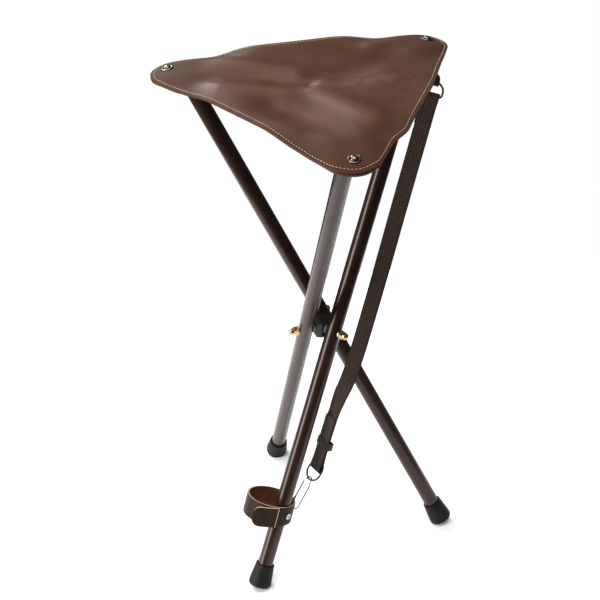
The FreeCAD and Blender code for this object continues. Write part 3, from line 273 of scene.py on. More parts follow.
strap_main = webbing("strap_main", main_places)
strap_tail = webbing("strap_tail", tail_places)
strap_top = webbing("strap_top", top_places, STRAP_JOIN)
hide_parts("webbing_strap")
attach(strap_tail, "leg_right")
strap_point(LEG_END)
strap_point(HUB_END)
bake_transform(strap_main)
strap_point(STRAP_JOIN)
strap_point(RING_END)
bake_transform(strap_top)
print("Webbing faces:", [len(piece.data.polygons) for piece in (strap_main, strap_tail, strap_top)])

# %% [markdown]
# ## Wiring finishes
# A finish is a small graph of shader nodes. Nodes that are added and linked one by one make long code that
# hides the idea. The class below wraps one output of a node, so that sums read like plain arithmetic, and
# its node method adds any other kind of node.

# %% Shader wires


class Wire:
    """One output of a shader node, which takes part in plain sums."""

    def __init__(self, tree, socket=None):
        self.tree = tree
        self.socket = socket

    def feed(self, socket, value):
        """Links a wire to a socket, or sets a plain value on it."""
        if isinstance(value, Wire):
            self.tree.links.new(value.socket, socket)
        else:
            socket.default_value = value

    def node(self, kind, settings, inputs, output=0):
        """Adds a node: its settings first, then its inputs. Gives one of its outputs."""
        made = self.tree.nodes.new(kind)
        for key, value in settings.items():
            setattr(made, key, value)
        for key, value in inputs.items():
            self.feed(made.inputs[key], value)
        return Wire(self.tree, made.outputs[output])

    def maths(self, operation, first, second=0.0):
        """A Math node. A function of one value leaves the second alone."""
        return self.node("ShaderNodeMath", {"operation": operation}, {0: first, 1: second})

    def __add__(self, other):
        return self.maths("ADD", self, other)

    def __radd__(self, other):
        return self.maths("ADD", other, self)

    def __sub__(self, other):
        return self.maths("SUBTRACT", self, other)

    def __rsub__(self, other):
        return self.maths("SUBTRACT", other, self)

    def __mul__(self, other):
        return self.maths("MULTIPLY", self, other)

    def __rmul__(self, other):
        return self.maths("MULTIPLY", other, self)

    def between(self, low, high):
        """This value as a share from low to high, kept within 0 and 1."""
        return self.node("ShaderNodeMapRange", {"clamp": True}, {0: self, 1: low, 2: high})

    def colours(self, first, second):
        """The colour this share of the way from first to second."""
        return self.node("ShaderNodeMix", {"data_type": "RGBA"}, {0: self, 6: first, 7: second}, 2)


# %% [markdown]
# ## Patterns
# Real surfaces are never one flat colour, and a photo of a surface would need a file. So each finish mixes
# a few patterns that Blender works out by itself. They read Object coordinates and therefore stick to a
# piece when it moves. The helpers below give the common ones short names: a cloudy noise, a net of cells,
# a pattern stretched along an axis, a value that is stored on the mesh, and a bump.

# %% Pattern helpers


def start_finish(name, **constants):
    """A new material with constant values on its shader. Gives material, shader and a first wire."""
    material = bpy.data.materials.new(name)
    material.use_nodes = True
    shader = material.node_tree.nodes["Principled BSDF"]
    for key, value in constants.items():
        shader.inputs[key.replace("_", " ")].default_value = value
    return material, shader, Wire(material.node_tree)


def colour(red, green, blue):
    """A colour in linear light, as the shader takes it."""
    return (red, green, blue, 1.0)


def object_place(wire):
    return wire.node("ShaderNodeTexCoord", {}, {}, "Object")


def noise(wire, place, scale, detail=3.0, roughness=0.5):
    inputs = {"Vector": place, "Scale": scale, "Detail": detail, "Roughness": roughness}
    return wire.node("ShaderNodeTexNoise", {}, inputs)


def cells(wire, place, scale, feature="F1"):
    return wire.node("ShaderNodeTexVoronoi", {"feature": feature}, {"Vector": place, "Scale": scale})


def stretched(wire, place, x, y, z):
    inputs = {0: place, 1: (x, y, z)}
    return wire.node("ShaderNodeVectorMath", {"operation": "MULTIPLY"}, inputs)


def attribute(wire, name):
    return wire.node("ShaderNodeAttribute", {"attribute_name": name}, {}, "Fac")


def bump(wire, shader, height, distance, strength=1.0):
    inputs = {"Height": height, "Distance": distance, "Strength": strength}
    wire.feed(shader.inputs["Normal"], wire.node("ShaderNodeBump", {}, inputs))


# %% [markdown]
# ## Weave
# On the webbing, cords run along the band and dip under the weft ribs in turn, and the edges are bound by
# a plain dark cord. Object coordinates would cut straight through a bent band, so this pattern reads the
# strip's UV map, which counts metres across and along. One wave across gives the cords. It also shifts
# the wave along, so that neighbouring cords are out of step.

# %% Webbing finish
CORD_PITCH = 0.0042
CORD_SHIFT = 1.2
BINDING = (0.0078, 0.0092)


def webbing_weave():
    material, shader, wire = start_finish("webbing_weave", Specular_IOR_Level=0.25)
    strip = wire.node("ShaderNodeUVMap", {"uv_map": "strip"}, {})
    across = wire.node("ShaderNodeSeparateXYZ", {}, {0: strip}, "X")
    along = wire.node("ShaderNodeSeparateXYZ", {}, {0: strip}, "Y")
    cords = wire.maths("SINE", across * (2 * math.pi / CORD_PITCH))
    ribs = wire.maths("SINE", along * (2 * math.pi / RIB_PITCH) + cords * CORD_SHIFT)
    woven = ribs * 0.5 + 0.5
    gaps = (cords * 0.5 + 0.5).between(0.0, 0.3)
    edge = wire.maths("ABSOLUTE", across).between(*BINDING)
    place = object_place(wire)
    fuzz = noise(wire, place, 1800, 3, 0.6)
    fade = noise(wire, place, 26, 3).between(0.3, 0.7)
    base = fade.colours(colour(0.013, 0.0072, 0.0055), colour(0.02, 0.0102, 0.0066))
    raised = woven * gaps * (1 - edge)
    base = (raised * 0.8).colours(base, colour(0.075, 0.043, 0.03))
    base = (edge * 0.6).colours(base, colour(0.012, 0.009, 0.0075))
    wire.feed(shader.inputs["Base Color"], base)
    wire.feed(shader.inputs["Roughness"], 0.62 + 0.25 * fuzz)
    bump(wire, shader, woven * gaps + fuzz * 0.3, 0.0004)
    return material


def dress(piece, slot, *finishes):
    """Gives a piece its finishes. The slot argument is not used."""
    for finish in finishes:
        piece.data.materials.append(finish)


WEBBING = webbing_weave()
for piece in (strap_main, strap_tail, strap_top):
    dress(piece, "webbing", WEBBING)
print("Ribs along the webbing:", round(STRAP_LENGTH / RIB_PITCH))

# %% [markdown]
# ## The seat's outline
# Seen from above the seat is a triangle with rounded corners. Sewn leather is never quite even: here the
# right edge bulges, and the back edge is drawn in, most of all beside its corners. An outline could be a
# long list of points. It is a formula instead, which gives the distance from the middle for each
# direction, so that the panel, its stitches and the pockets below can share it.

# %% Seat outline
HUB = Vector((0, 0.0195))
CORNERS = {"front": 270, "right": 30, "left": 150}
EDGES = {"right": 330, "back": 90, "left": 210}
SEAT_EDGE_REACH = 0.120988
CORNER_ROUND = 0.034
CORNER_ROUND_AT = 0.174
CORNER_ARC = 8.76
TIP_TRIM = 0.0035
BACK_DRAW = 0.007
NOTCH_DEPTH = 0.009
RIGHT_BULGE = 0.0115
# Angles in degrees from the middle of an edge or from a corner, where a change starts and ends.
BACK_END = (48, 60)
NOTCH_START = (30, 44)
NOTCH_END = (45, 54)
BULGE_START = (-45, -30)
BULGE_END = (12, 58)
TRIM_END = (4, 14)


def from_way(angle, way, turn=360):
    """Angle in degrees from a direction that comes back after each turn, signed."""
    return (angle - way + turn / 2) % turn - turn / 2


def from_corner(angle):
    """Angle in degrees from the nearest seat corner, signed."""
    return from_way(angle, CORNERS["right"], 120)


def triangle_reach(angle):
    """Distance from the middle to the straight edge in this direction."""
    return SEAT_EDGE_REACH / math.cos(math.radians(60 - abs(from_corner(angle))))


def pocket_reach(angle):
    """Distance from the middle to the plain rounded outline in this direction."""
    away = math.radians(from_corner(angle))
    if abs(from_corner(angle)) > CORNER_ARC:
        return triangle_reach(angle)
    side = CORNER_ROUND_AT * math.sin(away)
    return CORNER_ROUND_AT * math.cos(away) + math.sqrt(CORNER_ROUND ** 2 - side ** 2)


def drawn_in(angle):
    """How far the back edge is drawn in, most of all beside the corners."""
    back = abs(from_way(angle, EDGES["back"]))
    notch = smooth(back, *NOTCH_START) * (1 - smooth(back, *NOTCH_END))
    return BACK_DRAW * (1 - smooth(back, *BACK_END)) + NOTCH_DEPTH * notch


def panel_reach(angle):
    """The panel's own outline: the right edge bulges, and the back edge is drawn in."""
    right = from_way(angle, EDGES["right"])
    bulge = RIGHT_BULGE * smooth(right, *BULGE_START) * (1 - smooth(right, *BULGE_END))
    trim = TIP_TRIM * (1 - smooth(abs(from_corner(angle)), *TRIM_END))
    return pocket_reach(angle) + bulge - trim - drawn_in(angle)


print("Reach of the seat's corners:", [round(panel_reach(way), 4) for way in CORNERS.values()])

# %% [markdown]
# ## The seat's folds
# Taut leather forms folds that run from the corners towards the middle. They could be sculpted by hand
# or come from a cloth simulation. Each fold here is a line with a height and a spread, because it can then
# be laid where the photograph shows it, and the shading can ask for the same height.

# %% Seat folds
FOLD_FADE = (0.12, 0.155)
FOLD_EDGE = 0.03
# Each fold has its two ends, measured from the hub's axis, its height and its spread.
FOLDS = (
    (Vector((-0.122, 0.09)), Vector((-0.02, 0.03)), 0.0046, 0.015),
    (Vector((-0.142, 0.05)), Vector((-0.01, 0.004)), -0.0048, 0.014),
    (Vector((-0.122, 0.016)), Vector((-0.045, -0.022)), 0.004, 0.019),
    (Vector((-0.004, -0.022)), Vector((0.046, -0.128)), 0.0046, 0.018),
    (Vector((-0.06, -0.046)), Vector((-0.004, -0.14)), -0.0045, 0.022),
    (Vector((0.085, 0.078)), Vector((0.138, 0.088)), 0.003, 0.013),
    (Vector((0.035, 0.01)), Vector((0.11, 0.05)), -0.002, 0.02),
)


def line_share(spot, start, end, spread):
    """1 on the line from start to end, falling off over spread on all sides."""
    way = end - start
    share = min(max((spot - start).dot(way) / way.length_squared, 0), 1)
    away = (spot - start - way * share).length
    return math.exp(-((away / spread) ** 2))


def edge_distance(spot):
    """Distance from a spot to the nearest of the three straight edges."""
    ways = [math.radians(way) for way in EDGES.values()]
    return min(SEAT_EDGE_REACH - spot.dot(Vector((math.cos(way), math.sin(way)))) for way in ways)


def fold_height(spot):
    """Height of the folds, which level out towards the corners and the edges."""
    total = sum(height * line_share(spot, start, end, spread) for start, end, height, spread in FOLDS)
    level = 1 - smooth(spot.length, *FOLD_FADE)
    return total * level * smooth(edge_distance(spot), 0, FOLD_EDGE)


fold_start, fold_end = FOLDS[0][:2]
print("Height half way along the first fold:", round(fold_height((fold_start + fold_end) / 2), 4))

# %% [markdown]
# ## The seat's height
# The mid-edges are the seat's highest places: the middle sags, the corners hang over the tube ends, and
# their sides droop. One function adds these to the folds. The direction square to the seat comes from small
# steps to both sides in the same function, so that whatever lies on the leather can stand square on it.

# %% Seat height
SEAT_TOP = 0.669976
SEAT_TIP_REACH = 0.207976
SEAT_SAG = 0.005
TIP_DROP = 0.014
LOBE_DROOP = 0.005
DROOP_OUTWARD = (0.095, 0.145)
DROOP_SIDEWAYS = (0.014, 0.046)


def seat_height(spot):
    """Height of the seat's upper side at a spot measured from the hub's axis."""
    reach = spot.length
    away = math.radians(from_corner(math.degrees(math.atan2(spot.y, spot.x))))
    outward = reach * math.cos(away)
    sideways = abs(reach * math.sin(away))
    droop = LOBE_DROOP * smooth(outward, *DROOP_OUTWARD) * smooth(sideways, *DROOP_SIDEWAYS)
    if reach < SEAT_EDGE_REACH:
        lowered = SEAT_SAG * (1 - (reach / SEAT_EDGE_REACH) ** 2) ** 2
    else:
        lowered = TIP_DROP * ((reach - SEAT_EDGE_REACH) / (SEAT_TIP_REACH - SEAT_EDGE_REACH)) ** 2
    return SEAT_TOP - lowered - droop + fold_height(spot)


def seat_normal(spot):
    """Upward direction square to the seat at a spot."""
    step = 0.0005
    slope_x = seat_height(spot + Vector((step, 0))) - seat_height(spot - Vector((step, 0)))
    slope_y = seat_height(spot + Vector((0, step))) - seat_height(spot - Vector((0, step)))
    return Vector((-slope_x, -slope_y, 2 * step)).normalized()


print("Seat height at its middle:", round(seat_height(Vector((0, 0))), 4))

# %% [markdown]
# ## Seat leather
# The seat is brown full-grain leather with a soft shine. Its grain is a fine pattern of cells, and the
# colour drifts a little over the hide. Wear and painted shade aren't spread evenly, so four values are
# stored on the seat's points further below: rim, how far a point is from the edge, where painted shade
# darkens it; fold, how high it lies on a fold; crease, how much it lies where sitting has creased the
# leather; and lobe, how far out it is in a corner, where the leather is rougher and painted shade darkens
# it.

# %% Seat leather
DEEP_BROWN = colour(0.043, 0.0138, 0.0052)
WARM_BROWN = colour(0.066, 0.0228, 0.0096)
MOTTLED_BROWN = colour(0.032, 0.0118, 0.0052)
RUBBED_BROWN = colour(0.1, 0.05, 0.029)
# Painted shade colour, laid near the rim and on the corner tips.
SHADE_BROWN = colour(0.024, 0.0088, 0.0042)
CREASED_BROWN = colour(0.17, 0.085, 0.048)


def seat_leather():
    sheen = {"Specular_IOR_Level": 0.29, "Specular_Tint": colour(1.0, 0.82, 0.66)}
    material, shader, wire = start_finish("seat_leather", **sheen)
    place = object_place(wire)
    drift = noise(wire, place, 16, 4).between(0.32, 0.7)
    mottle = noise(wire, place, 120, 4, 0.6).between(0.3, 0.72)
    base = drift.colours(DEEP_BROWN, WARM_BROWN)
    base = (mottle * 0.35).colours(base, MOTTLED_BROWN)
    worn = attribute(wire, "fold").between(0.0005, 0.0045)
    base = (worn * 0.4).colours(base, RUBBED_BROWN)
    # Painted shade: the leather darkens towards its rim.
    rim_shade = 1 - attribute(wire, "rim").between(0.0, 0.007)
    base = (rim_shade * 0.6).colours(base, SHADE_BROWN)
    # Painted shade: the corners darken further out, where they droop. The same mask also makes them rougher.
    lobe = attribute(wire, "lobe")
    base = (lobe * 0.5).colours(base, SHADE_BROWN)
    warped = stretched(wire, place, 1.0, 2.4, 1.0)
    lines = 1 - cells(wire, warped, 150, "DISTANCE_TO_EDGE").between(0.0, 0.07)
    lines = lines * attribute(wire, "crease") * noise(wire, place, 60).between(0.42, 0.6)
    base = (lines * 0.55).colours(base, CREASED_BROWN)
    wire.feed(shader.inputs["Base Color"], base)
    pores = cells(wire, place, 780)
    grain = noise(wire, place, 420, 3, 0.6)
    wire.feed(shader.inputs["Roughness"], 0.35 + 0.1 * drift + 0.08 * grain + 0.38 * lobe)
    bump(wire, shader, pores * 0.5 + grain * 0.6 - lines * 1.6, 0.0004, 0.4)
    return material


SEAT_LEATHER = seat_leather()
print("Nodes in the seat's leather:", len(SEAT_LEATHER.node_tree.nodes))

# %% [markdown]
# ## Flesh sides and cut edges
# A hide has three faces: the grain side outside, the flesh side, which is rough like suede, and the cut
# edge, which shows layered fibres. One finish for all three would look like plastic. The belt needs these
# two as well, so they are functions that take their colours.

# %% Flesh sides and cut edges


def flesh_side(name, dark, light):
    """The suede-like inner side of leather."""
    material, shader, wire = start_finish(name, Specular_IOR_Level=0.2)
    place = object_place(wire)
    nap = noise(wire, place, 900, 5, 0.7)
    patch = noise(wire, place, 45, 4).between(0.3, 0.7)
    base = (patch * 0.6 + nap * 0.4).colours(dark, light)
    wire.feed(shader.inputs["Base Color"], base)
    wire.feed(shader.inputs["Roughness"], 0.75 + 0.2 * nap)
    bump(wire, shader, nap, 0.0004)
    return material


def cut_edge(name, dark, light):
    """The layered fibres at a cut edge of leather."""
    material, shader, wire = start_finish(name, Specular_IOR_Level=0.3)
    place = object_place(wire)
    fibres = noise(wire, stretched(wire, place, 1, 1, 6), 500, 4, 0.65)
    stain = noise(wire, place, 70, 3).between(0.3, 0.7)
    base = (fibres * 0.6 + stain * 0.4).colours(dark, light)
    wire.feed(shader.inputs["Base Color"], base)
    wire.feed(shader.inputs["Roughness"], 0.5 + 0.3 * fibres)
    bump(wire, shader, fibres, 0.0003)
    return material


SEAT_FLESH = flesh_side("seat_flesh", colour(0.07, 0.035, 0.02), colour(0.14, 0.08, 0.05))
SEAT_EDGE = cut_edge("seat_edge", colour(0.03, 0.0105, 0.0055), colour(0.105, 0.034, 0.015))
print("Leather of the seat:", SEAT_LEATHER.name, SEAT_FLESH.name, SEAT_EDGE.name)

# %% [markdown]
# ## A sheet for a third of the seat
# The seat and the pockets below it are sheets that follow the same height. Rings of faces round the middle
# would be narrow there and wide at the rim. So a third of the seat starts as a kite of four points, which is
# divided into a fine grid, drawn out to an outline and lifted to the height.

# %% Kite grid
SEAT_CUTS = 78


def kite_grid(corner, reach_of, below=0.0):
    """A fine grid over one third of the seat, out to the outline that reach_of gives."""
    bm = bmesh.new()
    turn = math.radians(CORNERS[corner])
    tip = Vector((2 * SEAT_EDGE_REACH, 0))
    half = SEAT_EDGE_REACH / 2
    side = SEAT_EDGE_REACH * math.sin(math.radians(60))
    kite = [bm.verts.new((x, y, 0)) for x, y in ((0, 0), (half, -side), tip, (half, side))]
    bm.faces.new(kite)
    bmesh.ops.subdivide_edges(bm, edges=bm.edges[:], cuts=SEAT_CUTS, use_grid_fill=True)
    bmesh.ops.rotate(bm, verts=bm.verts[:], matrix=Matrix.Rotation(turn, 3, "Z"))
    for vert in bm.verts:
        angle = math.degrees(math.atan2(vert.co.y, vert.co.x))
        spot = vert.co.xy * (reach_of(angle) / triangle_reach(angle))
        vert.co = (spot.x + HUB.x, spot.y + HUB.y, seat_height(spot) - below)
    bmesh.ops.recalc_face_normals(bm, faces=bm.faces[:])
    if bm.faces[0].normal.z < 0:
        bmesh.ops.reverse_faces(bm, faces=bm.faces[:])
    return bm


print("Points in the grid of a third:", (SEAT_CUTS + 2) ** 2)

# %% [markdown]
# ## Sides and marks of the leather
# A sheet of leather shows its grain side, its cut edge or its flesh side, so each face is sorted by the way
# it looks. The values that the seat's finish asks for are worked out once and stored on the points, because
# a shader knows neither the outline nor the folds.

# %% Leather marks
GRAIN_SIDE = 0
CUT_SIDE = 1
FLESH_SIDE = 2
FACING_LIMIT = 0.6
CREASES = (Vector((-0.008, -0.004)), Vector((0.1, -0.012)), 0.026)
# Where the corners turn rougher and darker with painted shade.
ROUGH_AND_SHADED_ENDS = (0.1, 0.155)


def plan_spot(place):
    """A point's place seen from above, measured from the hub's axis."""
    return place.xy - HUB


def leather_side(face, outside):
    """Which side of the leather a face shows, given the direction of the grain side."""
    facing = face.normal.dot(outside)
    if facing > FACING_LIMIT:
        return GRAIN_SIDE
    return FLESH_SIDE if facing < -FACING_LIMIT else CUT_SIDE


def mark_leather(bm):
    """Sorts the faces, and stores how each point lies to the rim, the folds, creases and corners."""
    for face in bm.faces:
        face.material_index = leather_side(face, seat_normal(plan_spot(face.calc_center_median())))
    rim = bm.verts.layers.float.new("rim")
    fold = bm.verts.layers.float.new("fold")
    crease = bm.verts.layers.float.new("crease")
    lobe = bm.verts.layers.float.new("lobe")
    for vert in bm.verts:
        spot = plan_spot(vert.co)
        vert[rim] = panel_reach(math.degrees(math.atan2(spot.y, spot.x))) - spot.length
        vert[fold] = fold_height(spot)
        vert[crease] = line_share(spot, *CREASES)
        vert[lobe] = smooth(spot.length, *ROUGH_AND_SHADED_ENDS)


# %% [markdown]
# ## The seat panel
# The seat is one hide. It is made as three thirds, one for each corner. Separate meshes would show a seam
# where they meet, so the shading of the thirds comes from the shared height and not from each mesh alone.

# %% Seat thirds
SEAT_THICKNESS = 0.003


def share_normals(mesh):
    """Shades the upper and lower side by the seat's own height, so that the thirds meet smoothly."""
    normals = [Vector((0, 0, 0))] * len(mesh.loops)
    for face in mesh.polygons:
        if face.material_index == CUT_SIDE:
            continue
        sign = 1 if face.material_index == GRAIN_SIDE else -1
        for loop in face.loop_indices:
            spot = plan_spot(mesh.vertices[mesh.loops[loop].vertex_index].co)
            normals[loop] = seat_normal(spot) * sign
    mesh.normals_split_custom_set(normals)


def corner_point(corner, reach, height=SEAT_TOP):
    """A point at this distance from the hub's axis towards a corner."""
    turn = math.radians(CORNERS[corner])
    return Vector((HUB.x + reach * math.cos(turn), HUB.y + reach * math.sin(turn), height))


def bend_with_leg(piece):
    """Bakes the piece's placement into its mesh."""
    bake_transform(piece)


def seat_third(corner):
    """One third of the seat, with its thickness."""
    bm = kite_grid(corner, panel_reach)
    bmesh.ops.solidify(bm, geom=bm.faces[:], thickness=SEAT_THICKNESS)
    bm.normal_update()
    mark_leather(bm)
    piece = add_piece(f"seat_{corner}", bm)
    share_normals(piece.data)
    dress(piece, "seat_leather", SEAT_LEATHER, SEAT_EDGE, SEAT_FLESH)
    bend_with_leg(piece)
    return piece


seat_thirds = [seat_third(corner) for corner in CORNERS]
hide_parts("seat_panel")
print("Seat points:", [len(piece.data.vertices) for piece in seat_thirds])

# %% [markdown]
# ## Thread
# The seams are sewn with twisted cream thread that has taken up some dirt. Modelled plies would be far too
# small to see, so a fine noise stands for the twist and a coarse one for the dirt.

# %% Thread


def thread():
    """Twisted sewing thread."""
    material, shader, wire = start_finish("thread", Specular_IOR_Level=0.3)
    place = object_place(wire)
    ply = noise(wire, place, 1600, 2)
    soil = noise(wire, place, 40, 3).between(0.35, 0.7)
    base = (soil * 0.7 + ply * 0.3).colours(colour(0.52, 0.37, 0.22), colour(0.32, 0.2, 0.11))
    wire.feed(shader.inputs["Base Color"], base)
    wire.feed(shader.inputs["Roughness"], 0.6 + 0.2 * ply)
    bump(wire, shader, ply, 0.0002)
    return material


THREAD = thread()
print("Thread finish:", THREAD.name)

# %% [markdown]
# ## Stitches
# A line of cream thread runs all round, a few millimetres inside the edge. A painted line would look flat
# from near by, so each stitch is a small stretched sphere laid along the outline, half sunk into the
# leather. Each has only a few faces, because there are hundreds of them.

# %% Stitches
STITCH_INSET = 0.0046
STITCH_PITCH = 0.0042
STITCH_LENGTH = 0.0032
STITCH_WIDTH = 0.0009
STITCH_LIFT = 0.0001
ANGLE_STEP = 0.1


def rim_spot(angle):
    """The stitch line's spot in this direction, from the hub's axis."""
    way = Vector((math.cos(math.radians(angle)), math.sin(math.radians(angle))))
    return way * (panel_reach(angle) - STITCH_INSET)


def stitch_place(angle):
    """Where a stitch at this angle lies, and how far the line runs in one step of the angle."""
    spot = rim_spot(angle)
    ahead = rim_spot(angle + ANGLE_STEP)
    up = seat_normal(spot)
    step = Vector((*(ahead - spot), seat_height(ahead) - seat_height(spot)))
    along = (step - up * step.dot(up)).normalized()
    turn = Matrix((along, up.cross(along), up)).transposed().to_4x4()
    place = Vector((spot.x + HUB.x, spot.y + HUB.y, seat_height(spot) + STITCH_LIFT))
    return Matrix.Translation(place) @ turn, (ahead - spot).length


def stitch_line(corner):
    """The stitches along the outline of one third."""
    bm = bmesh.new()
    size = Matrix.Diagonal((STITCH_LENGTH / 2, STITCH_WIDTH / 2, STITCH_WIDTH / 2, 1))
    angle = CORNERS[corner] - 60.0
    while angle < CORNERS[corner] + 60:
        place, step = stitch_place(angle)
        bmesh.ops.create_uvsphere(bm, u_segments=6, v_segments=5, radius=1, matrix=place @ size)
        angle += ANGLE_STEP * STITCH_PITCH / step
    piece = add_piece(f"stitches_{corner}", bm, sharp_angle=math.radians(180))
    dress(piece, "seat_leather", THREAD)
    bend_with_leg(piece)
    return piece


stitch_lines = [stitch_line(corner) for corner in CORNERS]
print("Stitch faces:", sum(len(piece.data.polygons) for piece in stitch_lines))

# %% [markdown]
# ## Corner pockets
# Under each corner a second leather is sewn on, and its cut edge shows below the panel. It could be the
# panel's own mesh moved down, but it is cut off straight towards the middle and has a hole for the tube.
# So it starts as the same kite, a plane cuts off its inner part, and the faces round the tube are deleted.

# %% Pocket leathers
TUBE_RADIUS = 0.01
LEG_LEAN = math.radians(26.3)
POCKET_BACK = 0.1493
POCKET_THICKNESS = 0.0024
POCKET_DRAW = 0.15
LEATHER_GAP = 0.0003
HOLE_PLAY = 0.0012
JOINTS = {joint["name"]: joint for joint in frame["joints"]}


def leg_line(corner):
    """Pivot of a leg and the direction up its tube."""
    joint = JOINTS[f"{corner}_leg_fold"]
    outward = Vector((0, 0, 1)).cross(Vector(joint["axis"]))
    return Vector(joint["pos_m"]), outward * math.sin(LEG_LEAN) + Vector((0, 0, math.cos(LEG_LEAN)))


def flange_reach(angle):
    """The pocket's outline, which stands out behind the panel a little."""
    return pocket_reach(angle) - POCKET_DRAW * drawn_in(angle) - TIP_TRIM


def cut_behind(bm, place, way):
    """Cuts a mesh at a plane that looks along way, and removes what lies behind the plane."""
    geom = bm.verts[:] + bm.edges[:] + bm.faces[:]
    bmesh.ops.bisect_plane(bm, geom=geom, plane_co=place, plane_no=way, clear_inner=True)


def corner_flange(corner):
    """The pocket's flat leather, with a hole for the tube."""
    pivot, up = leg_line(corner)
    bm = kite_grid(corner, flange_reach, SEAT_THICKNESS + LEATHER_GAP)
    outward = corner_point(corner, 1) - corner_point(corner, 0)
    cut_behind(bm, corner_point(corner, POCKET_BACK), outward)
    tube_faces = []
    for face in bm.faces:
        offset = face.calc_center_median() - pivot
        if (offset - up * offset.dot(up)).length < TUBE_RADIUS + HOLE_PLAY:
            tube_faces.append(face)
    bmesh.ops.delete(bm, geom=tube_faces, context="FACES")
    bmesh.ops.solidify(bm, geom=bm.faces[:], thickness=POCKET_THICKNESS)
    bm.normal_update()
    mark_leather(bm)
    piece = add_piece(f"pocket_{corner}", bm)
    dress(piece, "seat_leather", SEAT_LEATHER, SEAT_EDGE, SEAT_FLESH)
    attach(piece, f"leg_{corner}")
    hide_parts(f"corner_pocket_{corner}")
    return piece


print("Pocket faces:", [len(corner_flange(corner).data.polygons) for corner in CORNERS])

# %% [markdown]
# ## Metal
# The rivets, rings, nuts and other fittings are plated metal. A plain metal shader would mirror the room on
# them too clearly, so fine scratches and some tarnish break up the highlights. One function serves all of
# them, because they differ only in colour and roughness.

# %% Metal


def metal(name, tint, stain, rough):
    """Plated metal with small scratches and some tarnish."""
    material, shader, wire = start_finish(name, Metallic=1.0)
    place = object_place(wire)
    tarnish = noise(wire, place, 220, 5, 0.6).between(0.4, 0.75)
    scratches = noise(wire, stretched(wire, place, 1, 1, 9), 700, 3)
    wire.feed(shader.inputs["Base Color"], (tarnish * 0.7).colours(tint, stain))
    wire.feed(shader.inputs["Roughness"], rough + 0.14 * tarnish + 0.08 * scratches)
    bump(wire, shader, scratches, 0.00005, 0.4)
    return material


BRASS = metal("brass", colour(0.72, 0.5, 0.24), colour(0.32, 0.19, 0.08), 0.2)
STEEL = metal("steel", colour(0.56, 0.55, 0.53), colour(0.3, 0.29, 0.27), 0.26)
NICKEL = metal("nickel", colour(0.12, 0.11, 0.1), colour(0.055, 0.05, 0.045), 0.3)
DARK_METAL = metal("dark_metal", colour(0.04, 0.032, 0.027), colour(0.018, 0.014, 0.011), 0.28)
RIVET_METAL = metal("rivet_metal", colour(0.15, 0.125, 0.105), colour(0.06, 0.048, 0.04), 0.2)
print("Metals:", BRASS.name, STEEL.name, NICKEL.name, DARK_METAL.name, RIVET_METAL.name)

# %% [markdown]
# ## Rivets
# A domed rivet with a flat rim holds both leathers together at each corner. A squashed sphere on a disc
# would do from far away, but the groove between rim and dome catches the light. So a profile is spun about
# an axis, as on a lathe.

# %% Rivets
RIVET_REACH = 0.184676
# Over the rim, down into the groove, and up the dome to the axis.
RIVET_PROFILE = (
    (0.0075, -0.0004), (0.0077, 0.0004), (0.0073, 0.0011), (0.0064, 0.0014), (0.0056, 0.0012),
    (0.0051, 0.0009), (0.0049, 0.0013), (0.0046, 0.0022), (0.0038, 0.0031), (0.0026, 0.0037),
    (0.0013, 0.004), (0.0, 0.0041))


def lathe(profile, place, steps):
    """A mesh turned from a profile of (radius, height) points about the place's own z axis."""
    bm = bmesh.new()
    points = [bm.verts.new((radius, 0, height)) for radius, height in profile]
    for first, second in zip(points, points[1:]):
        bm.edges.new((first, second))
    bmesh.ops.spin(
        bm, geom=bm.verts[:] + bm.edges[:], cent=(0, 0, 0), axis=(0, 0, 1), angle=2 * math.pi,
        steps=steps, use_merge=True)
    bmesh.ops.remove_doubles(bm, verts=bm.verts[:], dist=1e-6)
    bmesh.ops.transform(bm, matrix=place, verts=bm.verts[:])
    bmesh.ops.recalc_face_normals(bm, faces=bm.faces[:])
    return bm


def frame_along(origin, up):
    """A frame whose z axis points along up."""
    return Matrix.Translation(origin) @ up.to_track_quat("Z", "Y").to_matrix().to_4x4()


def rivet_seat(corner):
    """Where the rivet stands on the seat, and the direction square to the seat there."""
    spot = plan_spot(corner_point(corner, RIVET_REACH))
    return corner_point(corner, RIVET_REACH, seat_height(spot)), seat_normal(spot)


def corner_rivet(corner):
    """A rivet with a flat rim and a dome."""
    bm = lathe(RIVET_PROFILE, frame_along(*rivet_seat(corner)), 40)
    piece = add_piece(f"rivet_{corner}", bm, sharp_angle=math.radians(70))
    dress(piece, "dark_metal", RIVET_METAL)
    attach(piece, f"leg_{corner}")
    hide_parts(f"corner_rivet_{corner}")
    return piece


print("Rivet faces:", [len(corner_rivet(corner).data.polygons) for corner in CORNERS])

# %% [markdown]
# ## Sleeves
# Each pocket has a short leather sleeve that the tube end slips into. It is round, so it is spun about the
# tube's own line, from a profile with a soft lower edge. Its top would stand out of the sloping seat, so a
# plane along the seat cuts it off under the flange.

# %% Sleeves
# Heights are measured up the tube from its pivot.
LEG_TOP = 0.37
SLEEVE_LENGTH = 0.018
SLEEVE_SPARE = 0.006


